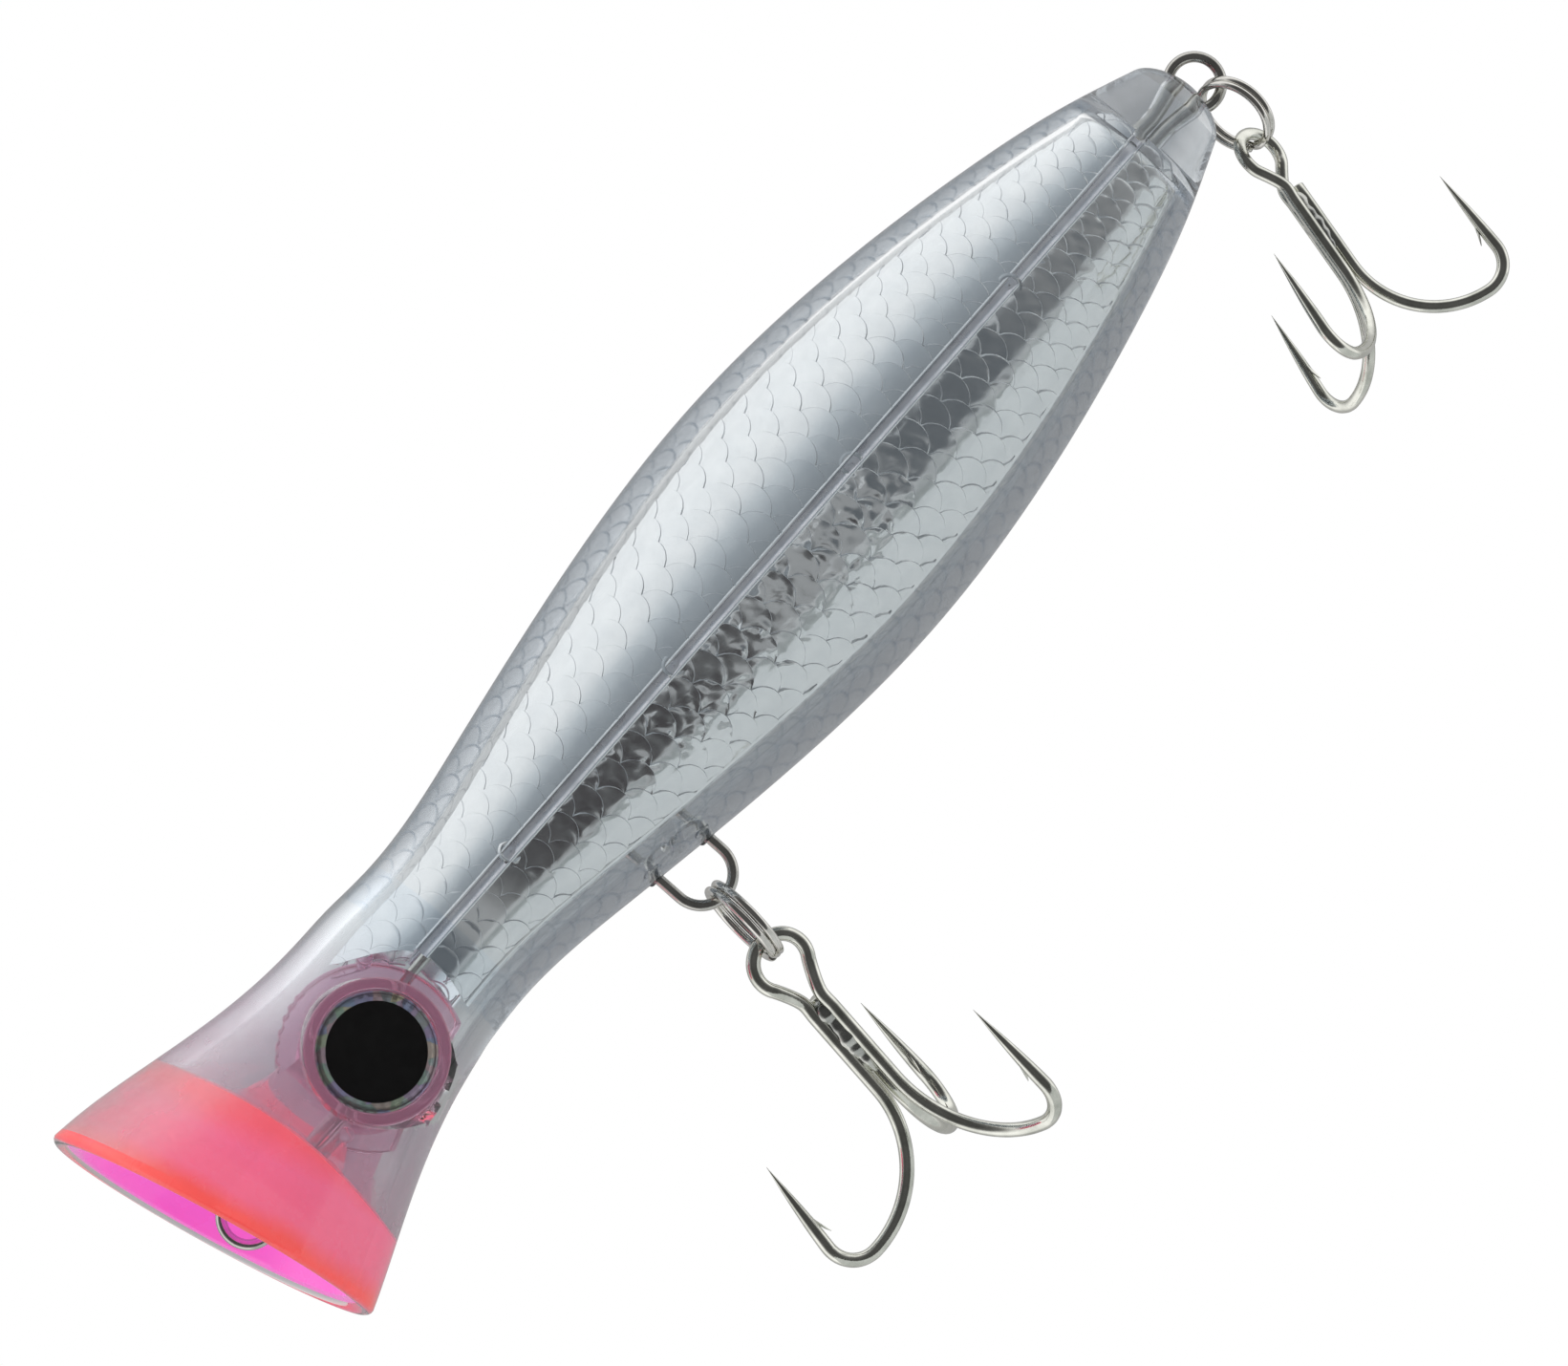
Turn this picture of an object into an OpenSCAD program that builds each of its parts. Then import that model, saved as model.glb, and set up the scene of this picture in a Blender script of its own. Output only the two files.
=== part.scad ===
/* [Body] */
// Distance from the head bend to the tail tip
body_l = 104.4; // [95:0.1:115]
// Largest diameter of the body
girth_d = 28.52; // [26:0.02:31]
// Wall of the clear shell
wall = 2; // [1.4:0.1:2.4]
// Height of the body axis over the tow eye
axis_z = 3.4; // [3:0.1:4]

/* [Head] */
// Distance of the head bend behind the tow eye
bend_x = 24; // [22:0.5:26]
// Downward tilt of the head axis in degrees
head_tilt = 4.4; // [3:0.1:6]
// Radius of the mouth rim
mouth_r = 16; // [15:0.1:17]
// Slant of the mouth plane from upright in degrees
mouth_slant = 12.4; // [9:0.1:15]

/* [Eyes] */
// Distance of the eyes behind the tow eye
eye_x = 17.1; // [16:0.1:19]
// Height of the eyes over the tow eye
eye_z = 1.1; // [0:0.1:1.5]
// Radius of the eye seat
seat_r = 6.3; // [6:0.1:6.6]
// Radius of the iris
iris_r = 5.3; // [4.8:0.1:5.4]

/* [Wire] */
// Diameter of the through wire
wire_d = 1; // [0.9:0.05:1.1]
// Mean radius of the tow eye and the tail eye
loop_r = 2.35; // [2.2:0.05:2.5]
// Distance of the belly hanger's middle behind the tow eye
hanger_x = 48.3; // [46:0.1:50]
// Distance between the legs of the belly hanger
hanger_w = 5.6; // [5.2:0.1:6]
// Distance from the body axis down to the bottom of the hanger
hanger_drop = 15.9; // [15:0.1:17]

/* [Hooks and rings] */
// Mean radius of the belly split ring
ring_r = 3.95; // [3.6:0.05:4.1]
// Wire diameter of the belly split ring
ring_d = 0.76; // [0.7:0.02:0.8]
// Wire diameter of the belly hook
hook_d = 1.3; // [1.2:0.05:1.4]
// Size of the tail hook and ring as a share of the belly set
tail_scale = 0.87; // [0.84:0.01:0.9]
// Swing of the belly hook away from the left side in degrees
belly_swing = 17.9; // [0:0.1:25]
// Turn of the belly hook about its shank in degrees
belly_yaw = -21.3; // [-25:0.1:-10]
// Swing of the tail hook on its ring in degrees
tail_swing = -20.7; // [-25:0.1:0]
// Turn of the tail hook about its shank in degrees
tail_yaw = -97.8; // [-105:1:-90]

/* [Hidden] */
$fn = 72;

girth_r = girth_d / 2;
tail_x = bend_x + body_l;
wire_r = wire_d / 2;
gap = 0.06;          // play between pieces that are seated in each other
foil_t = 0.3;        // thickness of the flank liners
foil_top = 57;       // liner's upper edge, degrees above level
foil_low = -50;      // liner's lower edge
foil_front = 25;     // liner's front end behind the tow eye
block_l = 7;         // solid block at the tail
cup_t = 1.2;         // wall of the cup
lip_t = 1.25;        // wall of the shell at the mouth
head_l = 34;         // head axis from the bend to beyond the mouth
bend_r = 30;         // radius of the neck's bend
side = 40;           // half size of the cutting blocks

// body outline: share of body_l behind the bend, share of the girth radius
body_outline = [[0, 0.638], [0.0575, 0.611], [0.172, 0.707], [0.326, 0.889], [0.508, 1],
                [0.68, 0.9025], [0.824, 0.696], [0.92, 0.497], [0.979, 0.33]];
// head outline: distance forward of the bend, radius
neck_r = girth_r * 0.638;
head_outline = [[0, neck_r], [5, 9.62], [12, 11.1], [20, 13.65], [25, 15.2], [30, mouth_r + 0.3],
                [head_l, mouth_r + 1]];
// the bend takes a short piece out of both axes
bend_half = bend_r * tan(head_tilt / 2);

// ---- curves ----
function clamp(v, lo, hi) = max(lo, min(hi, v));
function slope(p, i) = (p[i + 1][1] - p[i][1]) / (p[i + 1][0] - p[i][0]);
// tangent at station i of a smooth curve through the stations p
function tangent(p, i) =
    i == 0 ? slope(p, 0) :
    i == len(p) - 1 ? slope(p, i - 1) :
    let (a = p[i][0] - p[i - 1][0], b = p[i + 1][0] - p[i][0])
    (slope(p, i - 1) * b + slope(p, i) * a) / (a + b);
function span(p, x, i = 0) = (i >= len(p) - 2 || x <= p[i + 1][0]) ? i : span(p, x, i + 1);
// value at x of the smooth curve through the stations p
function curve(p, x) =
    let (i = span(p, x), h = p[i + 1][0] - p[i][0], t = (x - p[i][0]) / h)
    (2 * t^3 - 3 * t^2 + 1) * p[i][1] + (t^3 - 2 * t^2 + t) * h * tangent(p, i)
    + (3 * t^2 - 2 * t^3) * p[i + 1][1] + (t^3 - t^2) * h * tangent(p, i + 1);

tip_from = 0.979;
tip_slope = -0.38;
// body radius at distance x behind the tow eye, with an elliptic tail tip
function body_r(x) =
    let (s = (x - bend_x) / body_l, end = bend_x + tip_from * body_l, u = (x - end) / (tail_x - end))
    s <= tip_from ? girth_r * curve(body_outline, s)
    : (girth_r * 0.33 + tip_slope * (x - end)) * sqrt(max(0, 1 - u * u));
function head_r(a) = curve(head_outline, a);

// ---- solids about the body axis and the head axis ----
// places its children's Z axis on the body axis, pointing to the tail
module on_body_axis() translate([0, 0, axis_z]) rotate([0, 90, 0]) children();
// places its children's Z axis on the head axis, pointing to the mouth, zero at the bend
module on_head_axis()
    translate([bend_x, 0, axis_z]) rotate([0, -90 - head_tilt, 0]) children();

// a plug this long and this much thinner reaches from the body and the head into the bend
lead = 0.3;
lead_inset = 0.02;
function with_lead(r, from) =
    [[0, from - lead], [r - lead_inset, from - lead], [r - lead_inset, from]];
// revolved body solid, inset from the outline, from the bend to a distance behind the tow eye
module body_solid(inset, to, steps = 52) {
    from = bend_x + bend_half;
    on_body_axis() rotate_extrude() polygon(concat(
        with_lead(body_r(from) - inset, from),
        [for (i = [1 : steps]) let (x = from + (to - from) * i / steps)
            [max(0, body_r(x) - inset), x]],
        to < tail_x ? [[0, to]] : []));
}

// evenly spaced distances forward of the bend, with both ends
head_step = 1.25;
function head_stations(from, to) = concat([from],
    [for (i = [ceil(from / head_step + 0.01) : floor(to / head_step - 0.01)]) i * head_step], [to]);
// share of the way from the thick wall to the thin lip
function lip_share(a) = clamp((a - 22.5) / 3.75, 0, 1);
function head_wall(a) = wall + (lip_t - wall) * lip_share(a);
// revolved head solid from the bend to a distance forward of it; shares of the wall and a fixed
// inset are taken off the outline
module head_solid(walls, inset, to)
    on_head_axis() rotate_extrude() polygon(concat(
        with_lead(head_r(bend_half) - walls * wall - inset, bend_half),
        [for (a = head_stations(bend_half + lead, to)) [head_r(a) - walls * head_wall(a) - inset, a]],
        [[0, to]]));

// short curved piece of neck that joins body and head
module neck_bend(r)
    translate([bend_x + bend_half, 0, axis_z - bend_r]) rotate([90, 0, 0])
    rotate_extrude(angle = head_tilt, start = 90) translate([bend_r, 0]) circle(r);

// everything behind the mouth plane, shifted back by inset
module behind_mouth(inset = 0)
    translate([-2.9 + inset, 0, axis_z - 1.7]) rotate([0, -mouth_slant, 0])
    translate([0, -side, -side]) cube([2 * side, 2 * side, 2 * side]);

module left_half() translate([-side, -side, -side]) cube([5 * side, side, 2 * side]);
module right_half() translate([-side, 0, -side]) cube([5 * side, side, 2 * side]);

// ---- swept wires ----
function unit(v) = v / norm(v);
function path_dir(p, i) = unit(p[min(i + 1, len(p) - 1)] - p[max(i - 1, 0)]);
// side vectors that turn as little as possible along the path
function path_sides(p, first) = [for (i = 0, n = unit(first - (first * path_dir(p, 0)) * path_dir(p, 0));
    i < len(p);
    i = i + 1, n = i < len(p) ? unit(n - (n * path_dir(p, i)) * path_dir(p, i)) : n) n];
// closed tube along the path p with radius r[i] at each point
module tube(p, r, first, sides = 10) {
    n = path_sides(p, first);
    rings = [for (i = [0 : len(p) - 1], k = [0 : sides - 1])
        let (b = cross(path_dir(p, i), n[i]), a = 360 * k / sides)
        p[i] + r[i] * (cos(a) * n[i] + sin(a) * b)];
    walls = [for (i = [0 : len(p) - 2], k = [0 : sides - 1]) let (m = (k + 1) % sides)
        [i * sides + k, (i + 1) * sides + k, (i + 1) * sides + m, i * sides + m]];
    last = (len(p) - 1) * sides;
    polyhedron(rings, concat(walls, [[for (k = [0 : sides - 1]) k]],
        [[for (k = [sides - 1 : -1 : 0]) last + k]]), convexity = 8);
}
// points of an arc in the upright middle plane
function arc(cx, cz, r, from, to, steps) =
    [for (i = [0 : steps]) let (a = from + (to - from) * i / steps) [cx + r * cos(a), 0, cz + r * sin(a)]];
function same(n, v) = [for (i = [1 : n]) v];

leg_gap = 1.1;       // between the two legs of a wire loop
leg_a = asin(leg_gap / 2 / loop_r) + 12;
corner_r = 1.2;      // bend of the wire into the hanger's legs
hanger_z = axis_z - hanger_drop;
tail_eye_x = tail_x + 0.5;
wire_path = concat(
    [[12, 0, -leg_gap / 2], [5, 0, -leg_gap / 2]],
    arc(0, 0, loop_r, 360 - leg_a, leg_a, 20),
    [[5, 0, leg_gap / 2], [12, 0, leg_gap / 2], [16, 0, 1.1], [20, 0, 2.4], [24, 0, axis_z - 0.15],
     [28, 0, axis_z]],
    arc(hanger_x - hanger_w / 2 - corner_r, axis_z - corner_r, corner_r, 90, 0, 4),
    arc(hanger_x, hanger_z + hanger_w / 2, hanger_w / 2, 180, 360, 12),
    arc(hanger_x + hanger_w / 2 + corner_r, axis_z - corner_r, corner_r, 180, 90, 4),
    [[tail_x - 12, 0, axis_z], [tail_x - 8, 0, axis_z + leg_gap / 2],
     [tail_x - 5, 0, axis_z + leg_gap / 2]],
    arc(tail_eye_x, axis_z, loop_r, 180 - leg_a, leg_a - 180, 20),
    [[tail_x - 5, 0, axis_z - leg_gap / 2], [tail_x - 9, 0, axis_z - leg_gap / 2]]);

// room for the wire where it passes through the clear plastic
module wire_room() {
    r = wire_r + gap;
    slot_h = 3.3;
    for (x = [hanger_x - hanger_w / 2, hanger_x + hanger_w / 2])
        translate([x, 0, hanger_z + 2]) cylinder(h = hanger_drop, r = r);
    translate([tail_eye_x, 0, axis_z]) rotate([90, 0, 0])
        rotate_extrude() translate([loop_r, 0]) circle(r, $fn = 24);
    translate([tail_x - 14, -r, axis_z - slot_h / 2]) cube([14 - loop_r + 0.8, 2 * r, slot_h]);
}

// ---- shell, liners, cup, frame ----
peg_r = 0.85;
peg_x = [38, 59, 82, 103];
boss_r = 1.5;
module shell_whole() {
    difference() {
        union() {
            body_solid(0, tail_x);
            neck_bend(body_r(bend_x + bend_half));
            intersection() {
                head_solid(0, 0, head_l);
                behind_mouth();
            }
            for (x = [hanger_x - hanger_w / 2, hanger_x + hanger_w / 2])
                translate([x, 0, axis_z - body_r(x) - 0.35]) cylinder(h = 3, r = boss_r);
        }
        body_solid(wall, tail_x - block_l);
        neck_bend(body_r(bend_x + bend_half) - wall);
        head_solid(1, 0, head_l);
        for (s = [-1, 1])
            translate([eye_x, 0, eye_z]) rotate([90 * s, 0, 0]) cylinder(h = 20, r = seat_r + gap);
        wire_room();
    }
}
module pegs(s)
    for (x = peg_x)
        translate([x, s * (body_r(x) - wall + 0.3), axis_z + 0.4]) rotate([90 * s, 0, 0])
            cylinder(h = 1.6, r = peg_r);
module shell_left() color("lavender", 0.4) {
    intersection() { shell_whole(); left_half(); }
    pegs(-1);
}
module shell_right() color("lavender", 0.4) {
    intersection() { shell_whole(); right_half(); }
    pegs(1);
}

module foil(s) {
    steps = 44;
    from = foil_front + bend_half;
    to = tail_x - block_l - 0.3;
    xs = [for (i = [0 : steps]) from + (to - from) * i / steps];
    start = s < 0 ? 270 - foil_top : 90 + foil_low;
    difference() {
        on_body_axis() rotate_extrude(angle = foil_top - foil_low, start = start) polygon(concat(
            [for (x = xs) [body_r(x) - wall - gap, x]],
            [for (i = [steps : -1 : 0]) [body_r(xs[i]) - wall - gap - foil_t, xs[i]]]));
        for (x = peg_x)
            translate([x, 0, axis_z + 0.4]) rotate([90 * -s, 0, 0]) cylinder(h = 20, r = peg_r + gap);
    }
}
module foil_left() color("silver") foil(-1);
module foil_right() color("silver") foil(1);

cup_back = 18.75;     // back edge of the cup forward of the bend
cup_depth = 1.4;      // bulge of the cup's back
// solid of the cup's outside, or of its hollow when it is inset by the cup's wall
module cup_solid(inset) {
    from = cup_back + inset;
    edge_r = head_r(from) - head_wall(from) - gap - inset;
    on_head_axis() rotate_extrude() polygon(concat(
        [for (i = [0 : 5]) let (u = i / 6) [edge_r * u, from - cup_depth * (1 - u * u)]],
        [for (a = head_stations(from, head_l)) [head_r(a) - head_wall(a) - gap - inset, a]],
        [[0, head_l]]));
}
module cup_insert() color("hotpink") difference() {
    intersection() {
        cup_solid(0);
        behind_mouth(0.35);
    }
    cup_solid(cup_t);
    for (s = [-1, 1])
        translate([2, 0, s * leg_gap / 2]) rotate([0, 90, 0]) cylinder(h = 10, r = wire_r + gap);
}

frame_r = 3.6;        // stalk of the head frame
disc_r = 8.2;         // disc behind the eyes
stalk_from = 6;       // distances of the stalk's ends forward of the bend
stalk_to = cup_back - cup_depth - 0.1;
stalk_flare = 6;      // widening of the stalk towards the cup
module head_frame() color("plum", 0.6) difference() {
    intersection() {
        union() {
            on_head_axis() rotate_extrude() polygon(concat(
                [[0, stalk_from]],
                [for (i = [0 : 8]) let (u = i / 8)
                    [frame_r + stalk_flare * u^3, stalk_from + (stalk_to - stalk_from) * u]],
                [[0, stalk_to]]));
            translate([eye_x, 1.6, eye_z]) rotate([90, 0, 0]) cylinder(h = 3.2, r = disc_r);
        }
        head_solid(1, 0.15, 25);
    }
    translate([0, -wire_r - gap, -2.2]) cube([40, 2 * (wire_r + gap), 8]);
}

// ---- eyes ----
seat_out = 10.25;     // outer face of the eye seat from the middle plane
seat_in = 4.9;
module on_eye(s) translate([eye_x, 0, eye_z]) rotate([s < 0 ? 90 : -90, 0, 0]) children();
module eye_seat(s) on_eye(s) difference() {
    translate([0, 0, seat_in]) cylinder(h = seat_out - seat_in, r = seat_r);
    translate([0, 0, seat_out - 1.2]) cylinder(h = 3, r = iris_r + 0.05);
}
module iris(s) on_eye(s) translate([0, 0, seat_out - 1.19]) cylinder(h = 0.2, r = iris_r);
pupil_r = 4.3;
module pupil(s) on_eye(s) translate([0, 0, seat_out - 0.98]) cylinder(h = 0.15, r = pupil_r);
lens_h = 1.4;
lens_rim = 0.3;       // height of the lens's straight edge
module lens(s) on_eye(s) difference() {
    translate([0, 0, seat_out - 0.98]) rotate_extrude() polygon(concat([[0, 0], [iris_r, 0]],
        [for (i = [0 : 8]) let (a = 90 * i / 8)
            [iris_r * cos(a)^0.6, lens_rim + (lens_h - lens_rim) * sin(a)]]));
    translate([0, 0, seat_out - 2]) cylinder(h = 1.2, r = pupil_r + 0.02);
}
module eye_left_seat() color("thistle", 0.6) eye_seat(-1);
module eye_right_seat() color("thistle", 0.6) eye_seat(1);
module eye_left_iris() color("silver") iris(-1);
module eye_right_iris() color("silver") iris(1);
module eye_left_pupil() color("black") pupil(-1);
module eye_right_pupil() color("black") pupil(1);
module eye_left_lens() color("white", 0.3) lens(-1);
module eye_right_lens() color("white", 0.3) lens(1);

// ---- wire and weights ----
module through_wire() color("gray") tube(wire_path, same(len(wire_path), wire_r), [0, 1, 0]);

// round weight threaded on the wire, which passes near its top
wire_cover = 1;       // from the wire's middle to the weight's top
module weight(from, length, r) color("dimgray") on_body_axis() difference() {
    translate([r - wire_cover, 0, from]) cylinder(h = length, r = r);
    cylinder(h = tail_x, r = wire_r + gap);
}
module belly_weight() weight(60, 24, 2.9);
module tail_weight() weight(96, 13, 2.6);

// ---- split rings ----
// two-turn ring in the upright plane whose normal is X, its centre at the origin
module split_ring(r, d) {
    turns = 2;
    steps = 30;
    jog = 0.12;   // share of a turn in which the wire steps sideways
    pitch = d + 0.04;
    total = turns * steps;
    path = [for (i = [0 : total - 1]) let (
        u = i / steps,
        s = clamp((u - 1 + jog / 2) / jog, 0, 1),
        a = 360 * u + 250)
        [pitch * (s * s * (3 - 2 * s) - 0.5), r * cos(a), r * sin(a)]];
    tube(path, same(total, d / 2), [1, 0, 0], 8);
}

ring_play = 0.2;      // play between the belly ring and the wire that it hangs on
hook_play = 0.4;      // play between a hook's eye and its split ring, at belly size
hanger_pin_x = hanger_x - 0.25;
ring_lean = 5;        // forward lean of the belly ring on the hanger
belly_ring_top = wire_r + ring_d / 2 + ring_play;
// places its children on the hanger's bottom, in the belly ring's frame
module on_hanger() translate([hanger_pin_x, 0, hanger_z]) rotate([belly_swing, ring_lean, 0]) children();
module belly_split_ring() color("lightgray") on_hanger() translate([0, 0, belly_ring_top - ring_r])
    split_ring(ring_r, ring_d);

// ---- treble hooks, made at belly size with the ring's wire at the origin ----
eye_r = 2.55;         // mean radius of the hook's eye
eye_drop = 4.2;       // from the eye's middle down to the shank
shank_l = 10.4;
pair_w = 1.9;         // between the two wires of the double hook
bend_big = 9.8;       // radius of the wide bend
bend_small = 3.25;    // radius of the tight bend before the point
spear_l = 9.1;        // length of the straight point
spear_turn = 94;      // turn of the tight bend in degrees
hook_r = hook_d / 2;
eye_top = ring_d / 2 + hook_r + hook_play;
eye_mid_z = eye_top - eye_r;
shank_z = eye_mid_z - eye_drop;
bend_z = shank_z - shank_l;
third_r = 1.2;        // third shank's distance from the middle
left_foot = [-pair_w / 2, 0];
right_foot = [pair_w / 2, 0];
third_foot = [0, third_r];
left_dir = 212;       // directions of the three points about the shank
right_dir = 328;
third_dir = 90;

// the spear's start, as distance out from the shank and height over the bend's start
spear_at = [bend_big + bend_small * sin(spear_turn), -bend_big + bend_small * (1 - cos(spear_turn))];
// the bend and point of one hook in the same measures
function hook_arm() = concat(
    [for (i = [1 : 9]) let (a = 10 * i) [bend_big * (1 - cos(a)), -bend_big * sin(a)]],
    [for (i = [1 : 7]) let (a = spear_turn * i / 7)
        [bend_big + bend_small * sin(a), -bend_big + bend_small * (1 - cos(a))]],
    [for (i = [1 : 3]) spear_at + spear_l * i / 3 * [cos(spear_turn), sin(spear_turn)]]);
arm_radii = concat(same(16, hook_r), [hook_r * 0.9, hook_r * 0.5, 0.04]);
function arm_points(foot, dir) =
    [for (q = hook_arm()) [foot[0] + q[0] * cos(dir), foot[1] + q[0] * sin(dir), bend_z + q[1]]];
function reversed(p) = [for (i = [len(p) - 1 : -1 : 0]) p[i]];

eye_turn = 125;       // the eye's round part reaches this far down each side from its top
function eye_side(s) = [for (i = [6 : -1 : 0]) let (a = 90 - s * eye_turn * i / 6)
    [eye_r * cos(a), 0, eye_mid_z + eye_r * sin(a)]];
function turn(p, a) =
    [for (q = p) [q[0] * cos(a) - q[1] * sin(a), q[0] * sin(a) + q[1] * cos(a), q[2]]];
function at_height(foot, z) = [foot[0], foot[1], z];

module hook_double(twist) {
    left = concat(reversed(arm_points(left_foot, left_dir)),
        [at_height(left_foot, bend_z), at_height(left_foot, shank_z)]);
    right = concat([at_height(right_foot, shank_z), at_height(right_foot, bend_z)],
        arm_points(right_foot, right_dir));
    eye = concat(eye_side(-1), [for (q = reversed(eye_side(1))) if (q[0] > 0.01) q]);
    path = concat(left, turn(eye, twist), right);
    radii = concat(reversed(arm_radii), same(len(path) - 2 * len(arm_radii), hook_r), arm_radii);
    tube(path, radii, [0, 1, 0]);
    barb(left_foot, left_dir);
    barb(right_foot, right_dir);
}
// the small sliver raised from the inner side of the point
module barb(foot, dir)
    translate(at_height(foot, 0)) rotate([0, 0, dir]) translate([spear_at[0], 0, bend_z + spear_at[1]])
    rotate([0, 90 - spear_turn, 0])
        polyhedron([[0, -0.25, 3.4], [0, 0.25, 3.4], [-hook_r - 0.75, 0, 1.1],
                    [0.1, -0.3, 1.7], [0.1, 0.3, 1.7]],
            [[0, 1, 2], [0, 2, 3], [1, 4, 2], [2, 4, 3], [0, 3, 4, 1]]);
module hook_third() {
    path = concat([at_height(third_foot, shank_z - 0.6), at_height(third_foot, bend_z)],
        arm_points(third_foot, third_dir));
    tube(path, concat([hook_r, hook_r], arm_radii), [1, 0, 0]);
    barb(third_foot, third_dir);
}
braze_l = 8.8;
module hook_braze() difference() {
    translate([0, 0.38, shank_z - 0.9 - braze_l]) cylinder(h = braze_l, r = 0.86);
    for (foot = [left_foot, right_foot, third_foot])
        translate(at_height(foot, bend_z - 1)) cylinder(h = shank_l + 3, r = hook_r);
}

belly_eye_twist = 23.2;
module on_belly_hook()
    on_hanger() translate([0, 0, belly_ring_top - 2 * ring_r]) rotate([0, 0, belly_yaw]) children();
module belly_hook_double() color("silver") on_belly_hook() hook_double(belly_eye_twist);
module belly_hook_third() color("silver") on_belly_hook() hook_third();
module belly_hook_braze() color("darkgray") on_belly_hook() hook_braze();

tail_pin_x = tail_eye_x + 0.45;
tail_pin_z = axis_z - sqrt(loop_r^2 - (tail_pin_x - tail_eye_x)^2);
tail_ring_r = ring_r * tail_scale;
tail_ring_d = ring_d * tail_scale;
tail_play = 0.5;      // play between the tail ring and the tail eye
tail_ring_top = wire_r + tail_ring_d / 2 + tail_play;
tail_ring_face = -150;   // direction in which the tail ring's face points
tail_ring_roll = -6;     // how far the tail ring has rolled round the tail eye
tail_hook_slide = -19.5; // how far the tail hook has slid round the tail ring
tail_eye_twist = -47.2;
// places its children on the tail eye's bottom, in the tail ring's frame
module on_tail_eye()
    translate([tail_pin_x, 0, tail_pin_z]) rotate([0, 0, tail_ring_face]) rotate([tail_ring_roll, 0, 0])
    children();
module tail_split_ring() color("lightgray") on_tail_eye() translate([0, 0, tail_ring_top - tail_ring_r])
    split_ring(tail_ring_r, tail_ring_d);
// the hook doesn't roll or slide with the ring's wire, it only swings about it
module on_tail_hook()
    on_tail_eye() translate([0, 0, tail_ring_top - tail_ring_r]) rotate([tail_hook_slide, 0, 0])
    translate([0, 0, -tail_ring_r]) rotate([0, tail_swing, 0])
    rotate([-tail_ring_roll - tail_hook_slide, 0, 0]) rotate([0, 0, tail_yaw - tail_ring_face])
    scale(tail_scale) children();
module tail_hook_double() color("silver") on_tail_hook() hook_double(tail_eye_twist);
module tail_hook_third() color("silver") on_tail_hook() hook_third();
module tail_hook_braze() color("darkgray") on_tail_hook() hook_braze();

shell_left();
shell_right();
foil_left();
foil_right();
cup_insert();
head_frame();
eye_left_seat();
eye_left_iris();
eye_left_pupil();
eye_left_lens();
eye_right_seat();
eye_right_iris();
eye_right_pupil();
eye_right_lens();
through_wire();
belly_weight();
tail_weight();
belly_split_ring();
belly_hook_double();
belly_hook_third();
belly_hook_braze();
tail_split_ring();
tail_hook_double();
tail_hook_third();
tail_hook_braze();
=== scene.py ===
import itertools
import math
import random

import bpy
import numpy as np
from mathutils import Matrix, Vector

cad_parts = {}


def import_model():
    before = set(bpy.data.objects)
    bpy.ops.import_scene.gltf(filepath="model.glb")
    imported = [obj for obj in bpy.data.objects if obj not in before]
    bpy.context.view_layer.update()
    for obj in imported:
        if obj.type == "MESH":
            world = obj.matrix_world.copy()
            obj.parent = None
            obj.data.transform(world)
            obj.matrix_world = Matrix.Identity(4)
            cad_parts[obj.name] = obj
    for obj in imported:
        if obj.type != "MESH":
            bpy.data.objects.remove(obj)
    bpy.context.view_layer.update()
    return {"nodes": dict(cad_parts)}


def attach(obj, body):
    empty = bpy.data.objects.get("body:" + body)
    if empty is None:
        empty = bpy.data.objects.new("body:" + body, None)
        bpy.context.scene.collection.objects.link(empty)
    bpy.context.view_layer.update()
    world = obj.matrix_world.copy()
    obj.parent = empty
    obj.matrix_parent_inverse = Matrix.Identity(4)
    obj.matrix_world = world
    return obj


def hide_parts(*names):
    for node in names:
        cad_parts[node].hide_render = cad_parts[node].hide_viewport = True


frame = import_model()
MM = 0.001
pi = math.pi
rad = math.radians

# ---- shape of the lure (mm)
BODY_L, GIRTH_R, WALL, LIP_WALL, AXIS_Z = 104.4, 14.26, 2.0, 1.25, 3.4
BEND_X, TILT, BEND_R = 24.0, rad(4.4), 30.0
BEND_HALF = BEND_R * math.tan(TILT / 2)
BEND_LEN = BEND_R * TILT
NECK_X = BEND_X + BEND_HALF      # the straight body axis starts here
TAIL_X = BEND_X + BODY_L
BLOCK_X = TAIL_X - 7.0           # front face of the solid tail block
BODY_OUTLINE = [(0.0575, 0.611), (0.172, 0.707), (0.326, 0.889), (0.508, 1), (0.68, 0.9025),
                (0.824, 0.696), (0.92, 0.497), (0.979, 0.33)]
HEAD_OUTLINE = [(34, 17), (30, 16.3), (25, 15.2), (20, 13.65), (12, 11.1), (5, 9.62), (0, 9.1)]
TIP_X = BEND_X + BODY_OUTLINE[-1][0] * BODY_L
TIP_TAPER = 0.38                 # slope of the last stretch, which ends in a rounded tip
MOUTH_POINT = np.array([-2.9, 0, 1.7])
MOUTH_SLANT = rad(12.4)
MOUTH_OUT = np.array([-math.cos(MOUTH_SLANT), 0, -math.sin(MOUTH_SLANT)])
EYE = np.array([17.1, 0, 1.1])


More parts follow.
